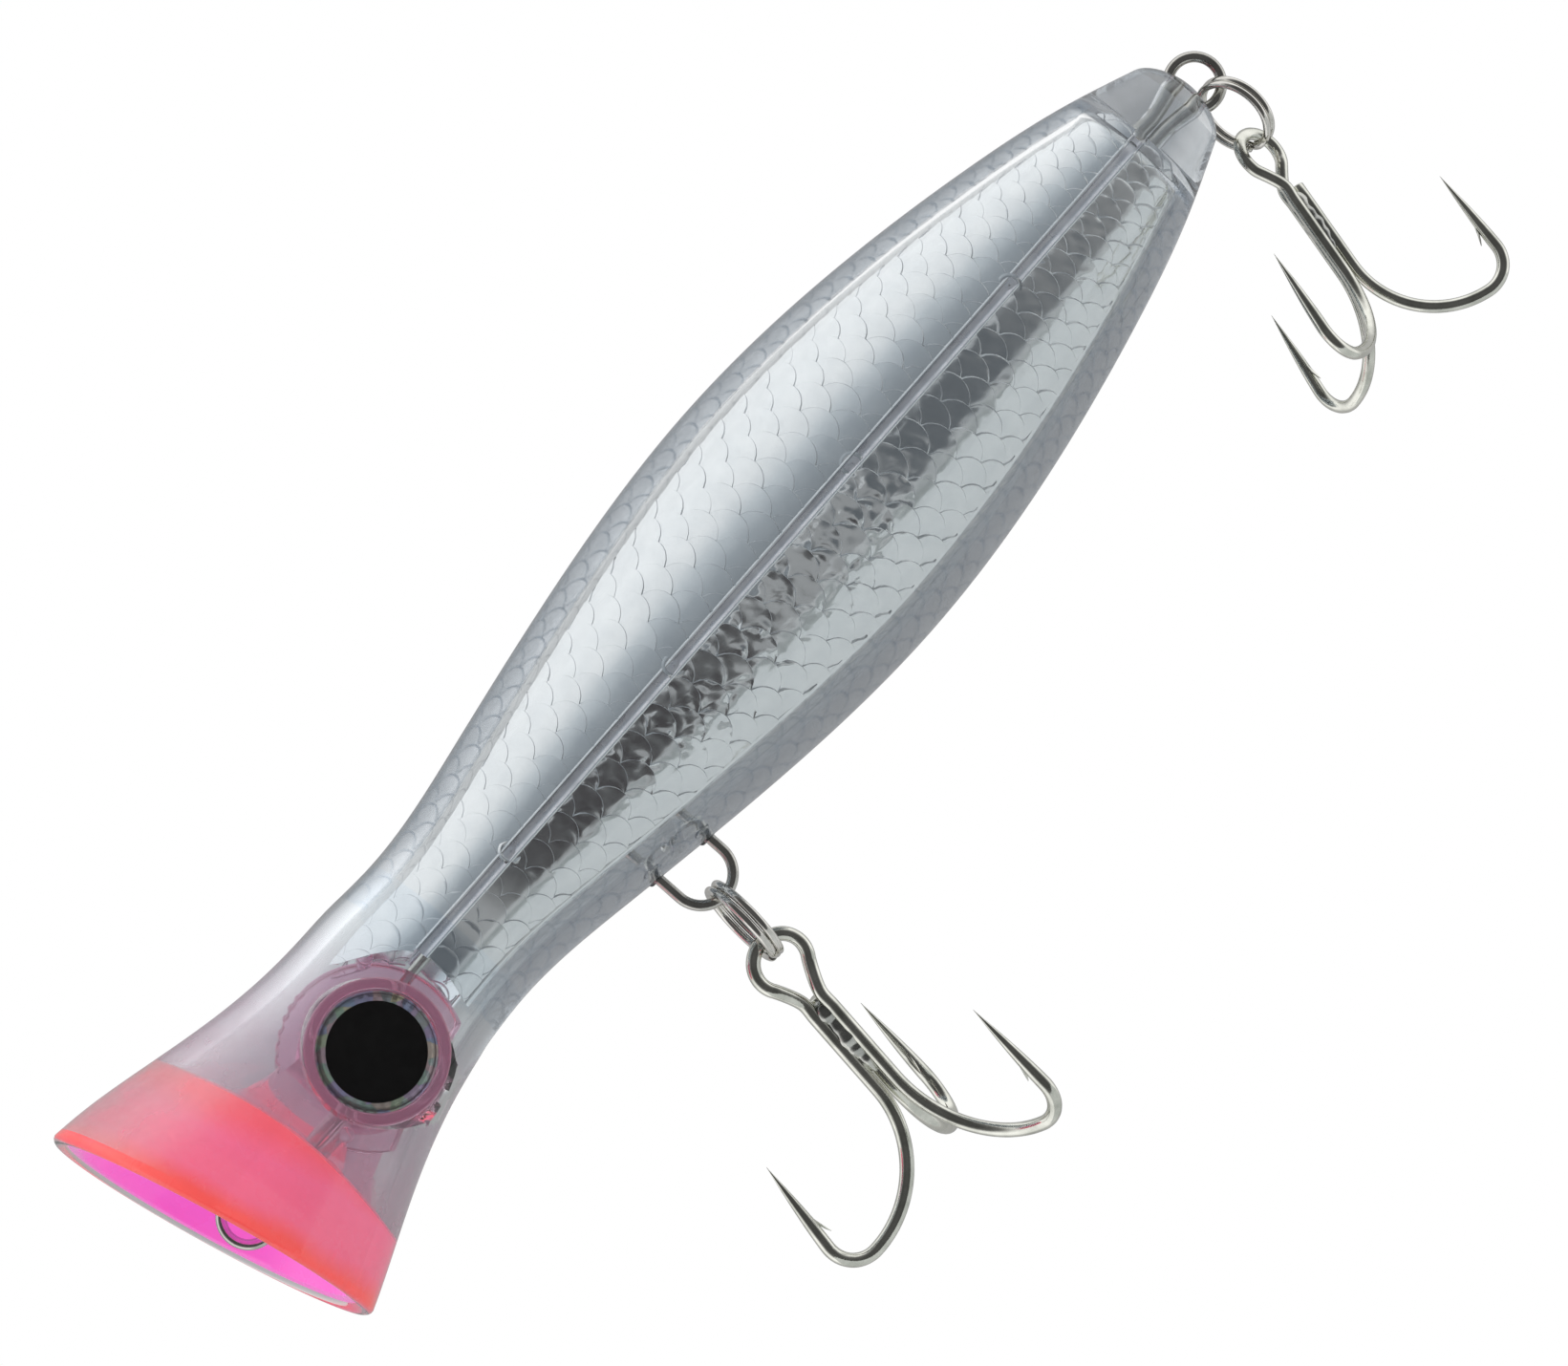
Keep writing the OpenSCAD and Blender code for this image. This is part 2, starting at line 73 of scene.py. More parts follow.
def spline(xs, ys):
    """Smooth curve with continuous bending through the stations."""
    xs, ys = np.array(xs, float), np.array(ys, float)
    n, h = len(xs), np.diff(xs)
    d = np.diff(ys) / h
    a, b = np.zeros((n, n)), np.zeros(n)
    a[0, 0], a[0, 1], b[0] = 2, 1, 3 * d[0]
    a[-1, -1], a[-1, -2], b[-1] = 2, 1, 3 * d[-1]
    for i in range(1, n - 1):
        a[i, i - 1], a[i, i], a[i, i + 1] = 1 / h[i - 1], 2 / h[i - 1] + 2 / h[i], 1 / h[i]
        b[i] = 3 * (d[i - 1] / h[i - 1] + d[i] / h[i])
    m = np.linalg.solve(a, b)

    def value(x):
        x = np.asarray(x, float)
        i = np.clip(np.searchsorted(xs, x) - 1, 0, n - 2)
        t = (x - xs[i]) / h[i]
        return ((2 * t**3 - 3 * t**2 + 1) * ys[i] + (t**3 - 2 * t**2 + t) * h[i] * m[i]
                + (3 * t**2 - 2 * t**3) * ys[i + 1] + (t**3 - t**2) * h[i] * m[i + 1])

    return value


def head_station(a):
    """Axis coordinate of a point this far forward of the bend."""
    return NECK_X - BEND_LEN - (a - BEND_HALF)


STATIONS = ([(head_station(a), r) for a, r in HEAD_OUTLINE]
            + [(BEND_X + BODY_L * s, GIRTH_R * r) for s, r in BODY_OUTLINE])
radius_curve = spline([x for x, r in STATIONS], [r for x, r in STATIONS])


def radius(x):
    """Outer radius at a distance along the bent axis, which equals X behind the neck."""
    x = np.asarray(x, float)
    u = np.clip((x - TIP_X) / (TAIL_X - TIP_X), 0, 1)
    tip = (GIRTH_R * BODY_OUTLINE[-1][1] - TIP_TAPER * (x - TIP_X)) * np.sqrt(1 - u * u)
    return np.where(x > TIP_X, tip, radius_curve(np.minimum(x, TIP_X)))


def wall(x):
    """Thickness of the clear wall, thinner at the lip."""
    a = BEND_HALF - (np.asarray(x, float) - NECK_X + BEND_LEN)
    return WALL - (WALL - LIP_WALL) * np.clip((a - 22.5) / 3.75, 0, 1)


def axis_frame(x):
    """Point on the bent axis and its upward normal."""
    x = np.asarray(x, float)
    s = np.minimum(x - NECK_X, 0)
    phi = np.clip(-s / BEND_R, 0, TILT)
    over = np.maximum(-s - BEND_LEN, 0)
    cx = np.where(x > NECK_X, x, NECK_X - BEND_R * np.sin(phi) - over * math.cos(TILT))
    cz = AXIS_Z - BEND_R + BEND_R * np.cos(phi) - over * math.sin(TILT)
    return np.stack([cx, 0 * cx, cz], -1), np.stack([-np.sin(phi), 0 * cx, np.cos(phi)], -1)


def around(x, r, theta):
    """Points at radius r round the axis; theta 0 is the left side (-Y), a quarter turn is up."""
    x, r, theta = np.broadcast_arrays(x, r, theta)
    c, n = axis_frame(x)
    side = np.array([0, -1.0, 0])
    return c + r[..., None] * (np.cos(theta)[..., None] * side + np.sin(theta)[..., None] * n)


def lip_x(theta, inset, back):
    """Axis coordinate at which the surface inset from the outline is `back` behind the mouth plane."""
    xs = np.linspace(-12, 10, 240)
    out = []
    for t in theta:
        depth = (around(xs, radius(xs) - inset, t) - MOUTH_POINT) @ MOUTH_OUT + back
        out.append(np.interp(0, -depth, xs))
    return np.array(out)


# ---- mesh helpers
def circle(n):
    """Angles of n even steps round a circle."""
    return np.linspace(0, 2 * pi, n, endpoint=False)


def volume(v, faces):
    total = 0.0
    for f in faces:
        for i in range(1, len(f) - 1):
            total += float(np.dot(v[f[0]], np.cross(v[f[i]], v[f[i + 1]])))
    return total / 6


def ring_faces(n, m, wrap=True):
    """Faces between n rings of m points."""
    out = []
    for i in range(n - 1):
        for k in range(m if wrap else m - 1):
            l = (k + 1) % m
            out.append((i * m + k, i * m + l, (i + 1) * m + l, (i + 1) * m + k))
    return out


def closed(rings, first=None, last=None):
    """Closed surface through rings of equal count, with end points or flat ends."""
    n, m = len(rings), len(rings[0])
    v = np.concatenate([np.asarray(r, float) for r in rings])
    faces = ring_faces(n, m)
    for at, row, flip in ((first, 0, False), (last, n - 1, True)):
        loop = [row * m + k for k in range(m)]
        if at is None:
            faces.append(tuple(loop if flip else loop[::-1]))
        else:
            v = np.vstack([v, at])
            tip = len(v) - 1
            faces += [(loop[(k + 1) % m], loop[k], tip) if not flip else (loop[k], loop[(k + 1) % m], tip)
                      for k in range(m)]
    if volume(v, faces) < 0:
        faces = [f[::-1] for f in faces]
    return v, faces


def merge(*parts):
    """One mesh from several."""
    v, faces, base = [], [], 0
    for pv, pf in parts:
        v.append(pv)
        faces += [tuple(i + base for i in f) for f in pf]
        base += len(pv)
    return np.concatenate(v), faces


SHARP = 38           # edges sharper than this many degrees stay crisp


def add_object(name, data):
    ob = bpy.data.objects.new(name, data)
    bpy.context.scene.collection.objects.link(ob)
    return ob


def piece(name, v, faces, mats, body="lure_body", replaces=(), slot=None, face_mats=None, sharp=SHARP):
    """Mesh object that rides on a body; v is in millimetres."""
    me = bpy.data.meshes.new(name)
    me.from_pydata([tuple(p) for p in np.asarray(v) * MM], [], faces)
    for m in mats:
        me.materials.append(m)
    me.polygons.foreach_set("use_smooth", [True] * len(me.polygons))
    if face_mats is not None:
        me.polygons.foreach_set("material_index", face_mats)
    me.update()
    me.set_sharp_from_angle(angle=rad(sharp))
    ob = add_object(name, me)
    if body:
        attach(ob, body)
        if replaces:
            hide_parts(*replaces)
    return ob


def stand_in(node, v, faces, mats, slot, body="lure_body", **more):
    """Finer piece in place of one CAD node."""
    return piece(node + "_visual", v, faces, mats, body, (node,), slot, **more)


def cut(ob, tools, how="DIFFERENCE"):
    """Adds or removes closed meshes, then forgets them."""
    for v, faces in tools:
        t = piece("tool", v, faces, [], body=None)
        mod = ob.modifiers.new("cut", "BOOLEAN")
        mod.operation = how
        mod.solver = "EXACT"
        mod.object = t
        bpy.context.view_layer.update()
        done = bpy.data.meshes.new_from_object(ob.evaluated_get(bpy.context.evaluated_depsgraph_get()))
        ob.modifiers.clear()
        old, ob.data = ob.data, done
        bpy.data.meshes.remove(old)
        bpy.data.objects.remove(t)
    ob.data.polygons.foreach_set("use_smooth", [True] * len(ob.data.polygons))
    ob.data.set_sharp_from_angle(angle=rad(SHARP))


def unit(v):
    return v / np.linalg.norm(v)


END_RINGS = ((0.1, 0.93), (0.18, 0.72))   # how far out and how wide a tube's end rings are, in radii


def tube(path, r, side, sides=20, round_ends=True):
    """Tube along a path with a radius at each point and a little rounding at its ends."""
    path = np.asarray(path, float)
    r = np.broadcast_to(np.asarray(r, float), (len(path),))
    d = np.gradient(path, axis=0)
    d /= np.linalg.norm(d, axis=1)[:, None]
    n = unit(np.array(side, float) - np.dot(side, d[0]) * d[0])
    a = circle(sides)
    rings = []
    for i in range(len(path)):
        n = unit(n - np.dot(n, d[i]) * d[i])
        disc = np.cos(a)[:, None] * n + np.sin(a)[:, None] * np.cross(d[i], n)
        if i == 0 and round_ends:
            rings += [path[0] - d[0] * r[0] * out + r[0] * wide * disc for out, wide in END_RINGS[::-1]]
        rings.append(path[i] + r[i] * disc)
        if i == len(path) - 1 and round_ends:
            rings += [path[i] + d[i] * r[i] * out + r[i] * wide * disc for out, wide in END_RINGS]
    return closed(rings)


def through(points, step):
    """Evenly spaced points on a smooth curve through the given ones."""
    p = np.asarray(points, float)
    q = np.vstack([2 * p[0] - p[1], p, 2 * p[-1] - p[-2]])
    out = []
    for i in range(1, len(q) - 2):
        near = q[i - 1:i + 3]
        knots = np.cumsum([0, *np.linalg.norm(np.diff(near, axis=0), axis=1) ** 0.5])
        for t in np.linspace(knots[1], knots[2], 12, endpoint=False):
            mix = lambda p1, p2, t1, t2: (t2 - t) / (t2 - t1) * p1 + (t - t1) / (t2 - t1) * p2
            a = [mix(near[k], near[k + 1], knots[k], knots[k + 1]) for k in range(3)]
            b = [mix(a[k], a[k + 1], knots[k], knots[k + 2]) for k in range(2)]
            out.append(mix(*b, knots[1], knots[2]))
    out.append(p[-1])
    out = np.array(out)
    d = np.concatenate([[0], np.cumsum(np.linalg.norm(np.diff(out, axis=0), axis=1))])
    at = np.linspace(0, d[-1], max(2, int(d[-1] / step) + 1))
    return np.stack([np.interp(at, d, out[:, k]) for k in range(3)], -1)


def arc(cx, cz, r, start, end, steps):
    """Arc in the middle plane, its angles in degrees from +X towards +Z."""
    a = np.radians(np.linspace(start, end, steps + 1))
    return np.stack([cx + r * np.cos(a), 0 * a, cz + r * np.sin(a)], -1)


def cylinder(base, axis, h, r, sides=48, bevel=0.0):
    """Closed cylinder with softened rims, as a lathe surface."""
    axis = unit(np.array(axis, float))
    n = unit(np.cross(axis, [0.3, 0.5, 0.8]))
    a = circle(sides)
    disc = np.cos(a)[:, None] * n + np.sin(a)[:, None] * np.cross(axis, n)
    profile = [(0, r), (h, r)]
    if bevel:
        soft = [(bevel * (1 - math.sin(t)), r - bevel * (1 - math.cos(t))) for t in np.linspace(pi / 2, 0, 5)]
        core = (r - bevel) * 0.5
        profile = [(0, core)] + soft + [(h - z, q) for z, q in soft[::-1]] + [(h, core)]
    base = np.array(base)
    return closed([base + axis * z + q * disc for z, q in profile], base, base + axis * h)


# ---- materials
class Nodes:
    """Small helper for building a node tree."""

    def __init__(self, tree):
        self.tree = tree
        tree.nodes.clear()

    def add(self, kind, inputs, out=0, **sets):
        """New node's output; each input gets a plain value or a link from another output."""
        n = self.tree.nodes.new("ShaderNode" + kind)
        for k, v in sets.items():
            setattr(n, k, v)
        for k, v in inputs.items():
            if hasattr(v, "is_output"):
                self.tree.links.new(v, n.inputs[k])
            else:
                n.inputs[k].default_value = v
        return n.outputs[out] if n.outputs else n


def material(name):
    """Empty material, its node tree and the coordinates in the piece's own space."""
    m = bpy.data.materials.new(name)
    m.use_nodes = True
    t = Nodes(m.node_tree)
    return m, t, t.add("TexCoord", {}, "Object")


def light_path(t, name):
    return t.add("LightPath", {}, name)


def finished(m, t, shader):
    t.add("OutputMaterial", {0: shader})
    return m


def blend(t, share, first, second):
    """Mix of two shaders by the share of the second."""
    return t.add("MixShader", {0: share, 1: first, 2: second})


def mix_colour(t, share, first, second):
    return t.add("Mix", {0: share, 6: first, 7: second}, 2, data_type="RGBA")


def ramp(t, fac, stops):
    out = t.add("ValToRGB", {0: fac})
    e = out.node.color_ramp.elements
    while len(e) < len(stops):
        e.new(0.5)
    for i, (at, col) in enumerate(stops):
        e[i].position = at
        e[i].color = (*col, 1)
    return out


def noise(t, coord, scale, detail=3.0, rough=0.5):
    return t.add("TexNoise", {"Scale": scale, "Detail": detail, "Roughness": rough, "Vector": coord})


def math_node(t, op, a, b):
    return t.add("Math", {0: a, 1: b}, operation=op)


def smooth_step(t, value, low, high):
    """Soft step from 0 at one value to 1 at another."""
    return t.add("MapRange", {"Value": value, "From Min": low, "From Max": high},
                 interpolation_type="SMOOTHSTEP")


def along(t, coord, direction):
    """Distance of a point along a direction."""
    return t.add("VectorMath", {0: coord, 1: direction}, "Value", operation="DOT_PRODUCT")


def spread(t, fac, low, high):
    """Most of a noise's range stretched over low to high."""
    return t.add("MapRange", {"Value": fac, "From Min": 0.3, "From Max": 0.7, "To Min": low, "To Max": high})


def bump(t, height, distance, strength=1.0):
    return t.add("Bump", {"Strength": strength, "Distance": distance, "Height": height})


def surface(name, low, high, ends, rough, tones, spots, grain, dent, looks):
    """Opaque surface: mottled colour, soft spots and fine relief, each from its own noise."""
    m, t, c = material(name)
    return finished(m, t, t.add("BsdfPrincipled", {
        "Base Color": ramp(t, noise(t, c, *tones), [(ends[0], low), (ends[1], high)]),
        "Roughness": spread(t, noise(t, c, *spots), *rough),
        "Normal": bump(t, noise(t, c, *grain), *dent), **looks}))


def steel(name, low, high, rough, grain=2600.0, dent=1e-5):
    """Plated wire: mottled plating, soft spots and fine draw marks."""
    return surface(name, low, high, (0.32, 0.62), rough, (420.0, 4.0, 0.6), (900.0, 5.0, 0.65), (grain, 3.0),
                   (dent, 0.6), {"Metallic": 1.0})


def foil_material(name, low, high, rough):
    """Vacuum-metallised foil with faint crazing."""
    return surface(name, low, high, (0.35, 0.65), (rough * 0.7, rough * 1.4), (500.0, 4.0), (700.0, 3.0),
                   (1500.0, 4.0, 0.6), (4e-6, 0.6), {"Metallic": 1.0})


def clear(name, colour, ior, rough, tint, wave, wave_scale=160.0, milk=0.0):
    """Clear plastic that also lets the lamps' light reach what is inside it."""
    m, t, c = material(name)
    plastic = t.add("BsdfPrincipled", {
        "Base Color": (*colour, 1), "Transmission Weight": 1.0 - milk, "IOR": ior,
        "Roughness": spread(t, noise(t, c, 300.0, 4.0), rough * 0.6, rough * 1.6),
        "Normal": bump(t, noise(t, c, wave_scale, 2.0), wave, 0.5)})
    lets = t.add("BsdfTransparent", {"Color": (*tint, 1)})
    return finished(m, t, blend(t, light_path(t, "Is Shadow Ray"), plastic, lets))


def film_material(name, colour, cover, fade=None):
    """Thin tinted lacquer film: partly see-through, and thinning out along a direction."""
    m, t, c = material(name)
    tint = ramp(t, noise(t, c, 260.0, 4.0), [(0.3, tuple(v * 0.9 for v in colour)), (0.7, colour)])
    lacquer = t.add("BsdfPrincipled", {"Roughness": 0.2, "Coat Weight": 0.2, "Base Color": tint})
    lets = t.add("BsdfTransparent", {"Color": (0.97, 0.985, 1, 1)})
    share = spread(t, noise(t, c, 420.0, 4.0), cover * 0.8, cover * 1.2)
    if fade:
        direction, full, gone = fade
        left = smooth_step(t, along(t, c, direction), gone * MM, full * MM)
        share = math_node(t, "MULTIPLY", share, left)
    return finished(m, t, blend(t, share, lets, lacquer))


def cup_material(name, stops, painted_glow):
    """Fluorescent plastic, its colour changing with the distance behind the mouth plane, with a painted glow:
    emission that lights the cup up though no lamp does.
    """
    m, t, c = material(name)
    start = float(MOUTH_POINT @ -MOUTH_OUT) * MM
    depth = t.add("MapRange", {
        "Value": along(t, c, tuple(-MOUTH_OUT)), "From Min": start, "From Max": start + 0.014})
    mottle = math_node(t, "SUBTRACT", noise(t, c, 130.0, 4.0), 0.5)
    col = ramp(t, math_node(t, "ADD", depth, math_node(t, "MULTIPLY", mottle, 0.16)), stops)
    return finished(m, t, t.add("BsdfPrincipled", {
        "Subsurface Weight": 0.25, "Subsurface Radius": (0.002, 0.0008, 0.0008), "Subsurface Scale": 1.0,
        # painted glow: the emission gives the cup light of its own, beyond what the lamps give
        "Coat Weight": 0.4, "Coat Roughness": 0.06, "Emission Strength": painted_glow, "Base Color": col,
        "Emission Color": col, "Roughness": spread(t, noise(t, c, 500.0, 4.0), 0.2, 0.325),
        "Normal": bump(t, noise(t, c, 700.0, 3.0), 1e-5, 0.5)}))


def iris_material():
    """Holographic foil disc: each facet splits the light its own way."""
    m, t, c = material("iris_foil")
    cells = t.add("TexVoronoi", {"Scale": 900.0, "Vector": c}, "Position")
    facet = t.add("TexWhiteNoise", {"Vector": cells}, noise_dimensions="3D")
    col = ramp(t, facet, [
        (0.0, (0.3, 0.33, 0.35)), (0.2, (0.5, 0.54, 0.54)), (0.38, (0.4, 0.6, 0.48)),
        (0.52, (0.68, 0.66, 0.46)), (0.66, (0.66, 0.5, 0.53)), (0.8, (0.5, 0.42, 0.64)),
        (1.0, (0.4, 0.5, 0.68))])
    return finished(m, t, t.add("BsdfPrincipled", {
        "Metallic": 0.9, "Roughness": 0.22, "Base Color": col, "Normal": bump(t, facet, 3e-5, 0.7)}))


SHELL = clear("clear_shell", (0.962, 0.98, 0.985), 1.5, 0.015, (0.97, 0.975, 0.98), wave=1e-5)
PINK = clear("pink_clear", (0.95, 0.66, 0.8), 1.28, 0.1, (0.95, 0.78, 0.87), wave=3e-5, wave_scale=400.0,
             milk=0.12)
SEAT = clear("pink_seat", (0.86, 0.6, 0.73), 1.45, 0.05, (0.95, 0.8, 0.87), wave=1e-5, wave_scale=300.0,
             milk=0.2)
LENS = clear("clear_lens", (0.99, 0.99, 0.985), 1.5, 0.01, (0.98, 0.98, 0.98), wave=4e-6)
FOIL = foil_material("flank_foil", (0.83, 0.85, 0.87), (0.89, 0.905, 0.92), 0.11)
RIM = foil_material("scale_rims", (0.66, 0.69, 0.72), (0.84, 0.87, 0.9), 0.5)
RIB = foil_material("lateral_rib", (0.74, 0.74, 0.79), (0.86, 0.86, 0.9), 0.3)
FILM = film_material("belly_film", (0.48, 0.53, 0.6), 0.22, ((1, 0, 0), 33, 25))
BACK_FILM = film_material("back_film", (0.27, 0.32, 0.37), 0.34, ((1, 0, 0), 38, 25))
HEAD_FILM = film_material("head_film", (0.76, 0.54, 0.68), 0.36, ((1, 0, 0), 5, 27))
CUP_FILM = film_material("cup_film", (0.74, 0.6, 0.62), 0.75, ((0.17, 0, 0.985), 18, 5))
TAIL_FILM = film_material("tail_film", (0.58, 0.6, 0.63), 0.3)
WIRE = steel("wire_steel", (0.5, 0.49, 0.46), (0.66, 0.65, 0.61), (0.12, 0.22))
RING = steel("ring_steel", (0.62, 0.61, 0.57), (0.86, 0.84, 0.8), (0.07, 0.15))
HOOK = steel("hook_steel", (0.58, 0.59, 0.53), (0.86, 0.86, 0.79), (0.06, 0.15))
BRAZE = steel("braze", (0.35, 0.36, 0.35), (0.7, 0.7, 0.66), (0.12, 0.3), 800.0, 6e-5)
WEIGHT = steel("weight_metal", (0.3, 0.31, 0.32), (0.4, 0.41, 0.42), (0.35, 0.55))
PUPIL = surface("pupil_black", (0.002, 0.002, 0.002), (0.005, 0.005, 0.005), (0.35, 0.65), (0.4, 0.65),
                (600.0, 4.0), (1020.0, 4.0), (1200.0, 3.0), (6e-6, 0.5), {"Specular IOR Level": 0.1})
# the last number of each cup material is the strength of its painted glow (emission)
CUP_OUT = cup_material("cup_outside", [
    (0.0, (1.0, 0.1, 0.085)), (0.06, (1.0, 0.11, 0.1)), (0.18, (0.95, 0.16, 0.28)),
    (0.45, (0.96, 0.17, 0.31)), (0.62, (1.0, 0.14, 0.19)), (1.0, (1.0, 0.14, 0.16))], 0.43)
CUP_IN = cup_material("cup_inside", [
    (0.0, (0.93, 0.16, 0.62)), (0.5, (0.9, 0.14, 0.72)), (1.0, (0.85, 0.1, 0.6))], 0.4)
IRIS = iris_material()

# ---- clear body
ANG = circle(144)
LIP_BACK = 0.6                  # the shell's lip starts to round off this far behind the mouth plane
FIXED_FROM = head_station(15)   # forward of this the rings lean over to follow the mouth plane
LIP_ROWS = 24
DOME_LEN = 2.6                  # the cavity ends in a dome this long at the tail block


def round_lip(outer, inner, bulge, steps):
    """Rings that round off a lip between its outer and inner edges."""
    mid, half = (outer + inner) / 2, (outer - inner) / 2
    lift = np.linalg.norm(half, axis=1)[:, None] * MOUTH_OUT * bulge
    return [mid + math.cos(t) * half + math.sin(t) * lift for t in np.linspace(0, pi, steps)[1:-1]]


def shell_mesh():
    """Clear shell as one skin: tail tip, outside, lip, inside and the dome at the tail block."""
    tip = [TIP_X + (TAIL_X - TIP_X) * math.sin(u) for u in np.linspace(pi / 2, 0, 14)[1:]]
    outer_lip = lip_x(ANG, 0.0, LIP_BACK)
    inner_lip = lip_x(ANG, LIP_WALL, LIP_BACK)
    rings = [around(x, radius(x), ANG) for x in tip]
    rings += [around(x, radius(x), ANG) for x in np.linspace(TIP_X, FIXED_FROM, 130)[1:]]
    for k in range(1, LIP_ROWS + 1):
        x = FIXED_FROM + (outer_lip - FIXED_FROM) * k / LIP_ROWS
        rings.append(around(x, radius(x), ANG))
    rings += round_lip(rings[-1], around(inner_lip, radius(inner_lip) - LIP_WALL, ANG), 0.95, 9)
    for k in range(LIP_ROWS, 0, -1):
        x = FIXED_FROM + (inner_lip - FIXED_FROM) * k / LIP_ROWS
        rings.append(around(x, radius(x) - wall(x), ANG))
    dome_x = BLOCK_X - DOME_LEN
    rings += [around(x, radius(x) - wall(x), ANG) for x in np.linspace(FIXED_FROM, dome_x, 120)]
    dome_r = float(radius(dome_x)) - WALL
    for t in np.linspace(0, pi / 2, 18)[1:-1]:
        rings.append(around(dome_x + DOME_LEN * math.sin(t), dome_r * math.cos(t) ** 0.8, ANG))
    return closed(rings, np.array([TAIL_X, 0, AXIS_Z]), np.array([BLOCK_X, 0, AXIS_Z]))


HANGER_X, HANGER_W, HANGER_Z = 48.3, 5.6, AXIS_Z - 15.9
LEGS = (HANGER_X - HANGER_W / 2, HANGER_X + HANGER_W / 2)
TAIL_EYE = TAIL_X + 0.5
LOOP_R = 2.35        # middle radius of the wire's eyes
WIRE_R = 0.5
HOLE_R = WIRE_R - 0.01          # the wire fills its holes, so that no air gap shows
LEG = 0.55                      # height of the wire's two runs over and under the axis
EYE_HOLE_R = 6.36

shell_v, shell_f = shell_mesh()
shell = piece("body_shell", shell_v, shell_f, [SHELL], replaces=("shell_left", "shell_right"),
              slot="clear_shell")
bosses = []
for x in LEGS:
    low = AXIS_Z - float(radius(x))
    a = circle(28)
    rows = []
    for z, q in [(1.6, 1.0), (0.3, 1.0), (0.1, 0.97), (-0.02, 0.88), (-0.09, 0.76), (-0.11, 0.62)]:
        rows.append(np.stack([x + q * np.cos(a), q * np.sin(a), 0 * a + low + z], -1))
    bosses.append(closed(rows))
cut(shell, bosses, "UNION")
eye_holes = [cylinder(EYE + [0, s * 2.5, 0], (0, s, 0), 12, EYE_HOLE_R, 96) for s in (-1, 1)]
leg_holes = [cylinder([x, 0, HANGER_Z + 2], (0, 0, 1), 12, HOLE_R, 20) for x in LEGS]
loop_path = [[TAIL_X - 13, 0, AXIS_Z + LEG], [TAIL_X - 5, 0, AXIS_Z + LEG],
             *arc(TAIL_EYE, AXIS_Z, LOOP_R, 152, -152, 40),
             [TAIL_X - 5, 0, AXIS_Z - LEG], [TAIL_X - 13, 0, AXIS_Z - LEG]]
cut(shell, eye_holes + leg_holes + [tube(loop_path, HOLE_R, (0, 1, 0), 16, False)])

# ---- embossed scales
FOIL_GAP = 0.1


def foil_r(x):
    return radius(x) - wall(x) - FOIL_GAP


def row_gap(x):
    return 1.75 + 0.42 * np.clip((foil_r(x) - 6.8) / 5.4, -0.4, 1)


def pitch(x):
    return np.interp(x, [20, 60, 85, 110, 124], [3.1, 3.05, 2.9, 2.2, 1.85])


XT = np.linspace(8, 126, 1200)
UT = np.concatenate([[0], np.cumsum(np.diff(XT) / pitch((XT[1:] + XT[:-1]) / 2))])
LATERAL = 0.4        # height of the lateral line over the axis


def emboss_gain(x):
    return np.interp(x, [22, 32, 46, 60, 120], [0.35, 0.45, 0.85, 1.0, 0.9])


SUNK = 0.17          # depth of the scales' fronts under the foil's level
SLIVER = 0.05        # a scale clipped narrower than this is left out
NO_AREA = 2e-5       # and so is a face with next to no area
rng = random.Random(7)
TILTS = {(i, j): (rng.uniform(-1, 1), rng.uniform(-1, 1), rng.random())
         for i in range(-4, 60) for j in range(-24, 25)}


def rough_noise(p, wave, seed):
    """Smooth pseudo-random field from a few crossed waves."""
    out = 0
    g = random.Random(seed)
    for _ in range(9):
        d = unit(np.array([g.gauss(0, 1) for _ in range(3)]))
        f = (2 * pi / wave) * g.uniform(0.6, 1.7)
        shift = g.uniform(0, 6.3)
        bend = np.sin(p @ np.roll(d, 1) * f * 0.6 + g.uniform(0, 6.3))
        out = out + np.sin(p @ d * f + shift + 1.7 * bend)
    return out / 4.5


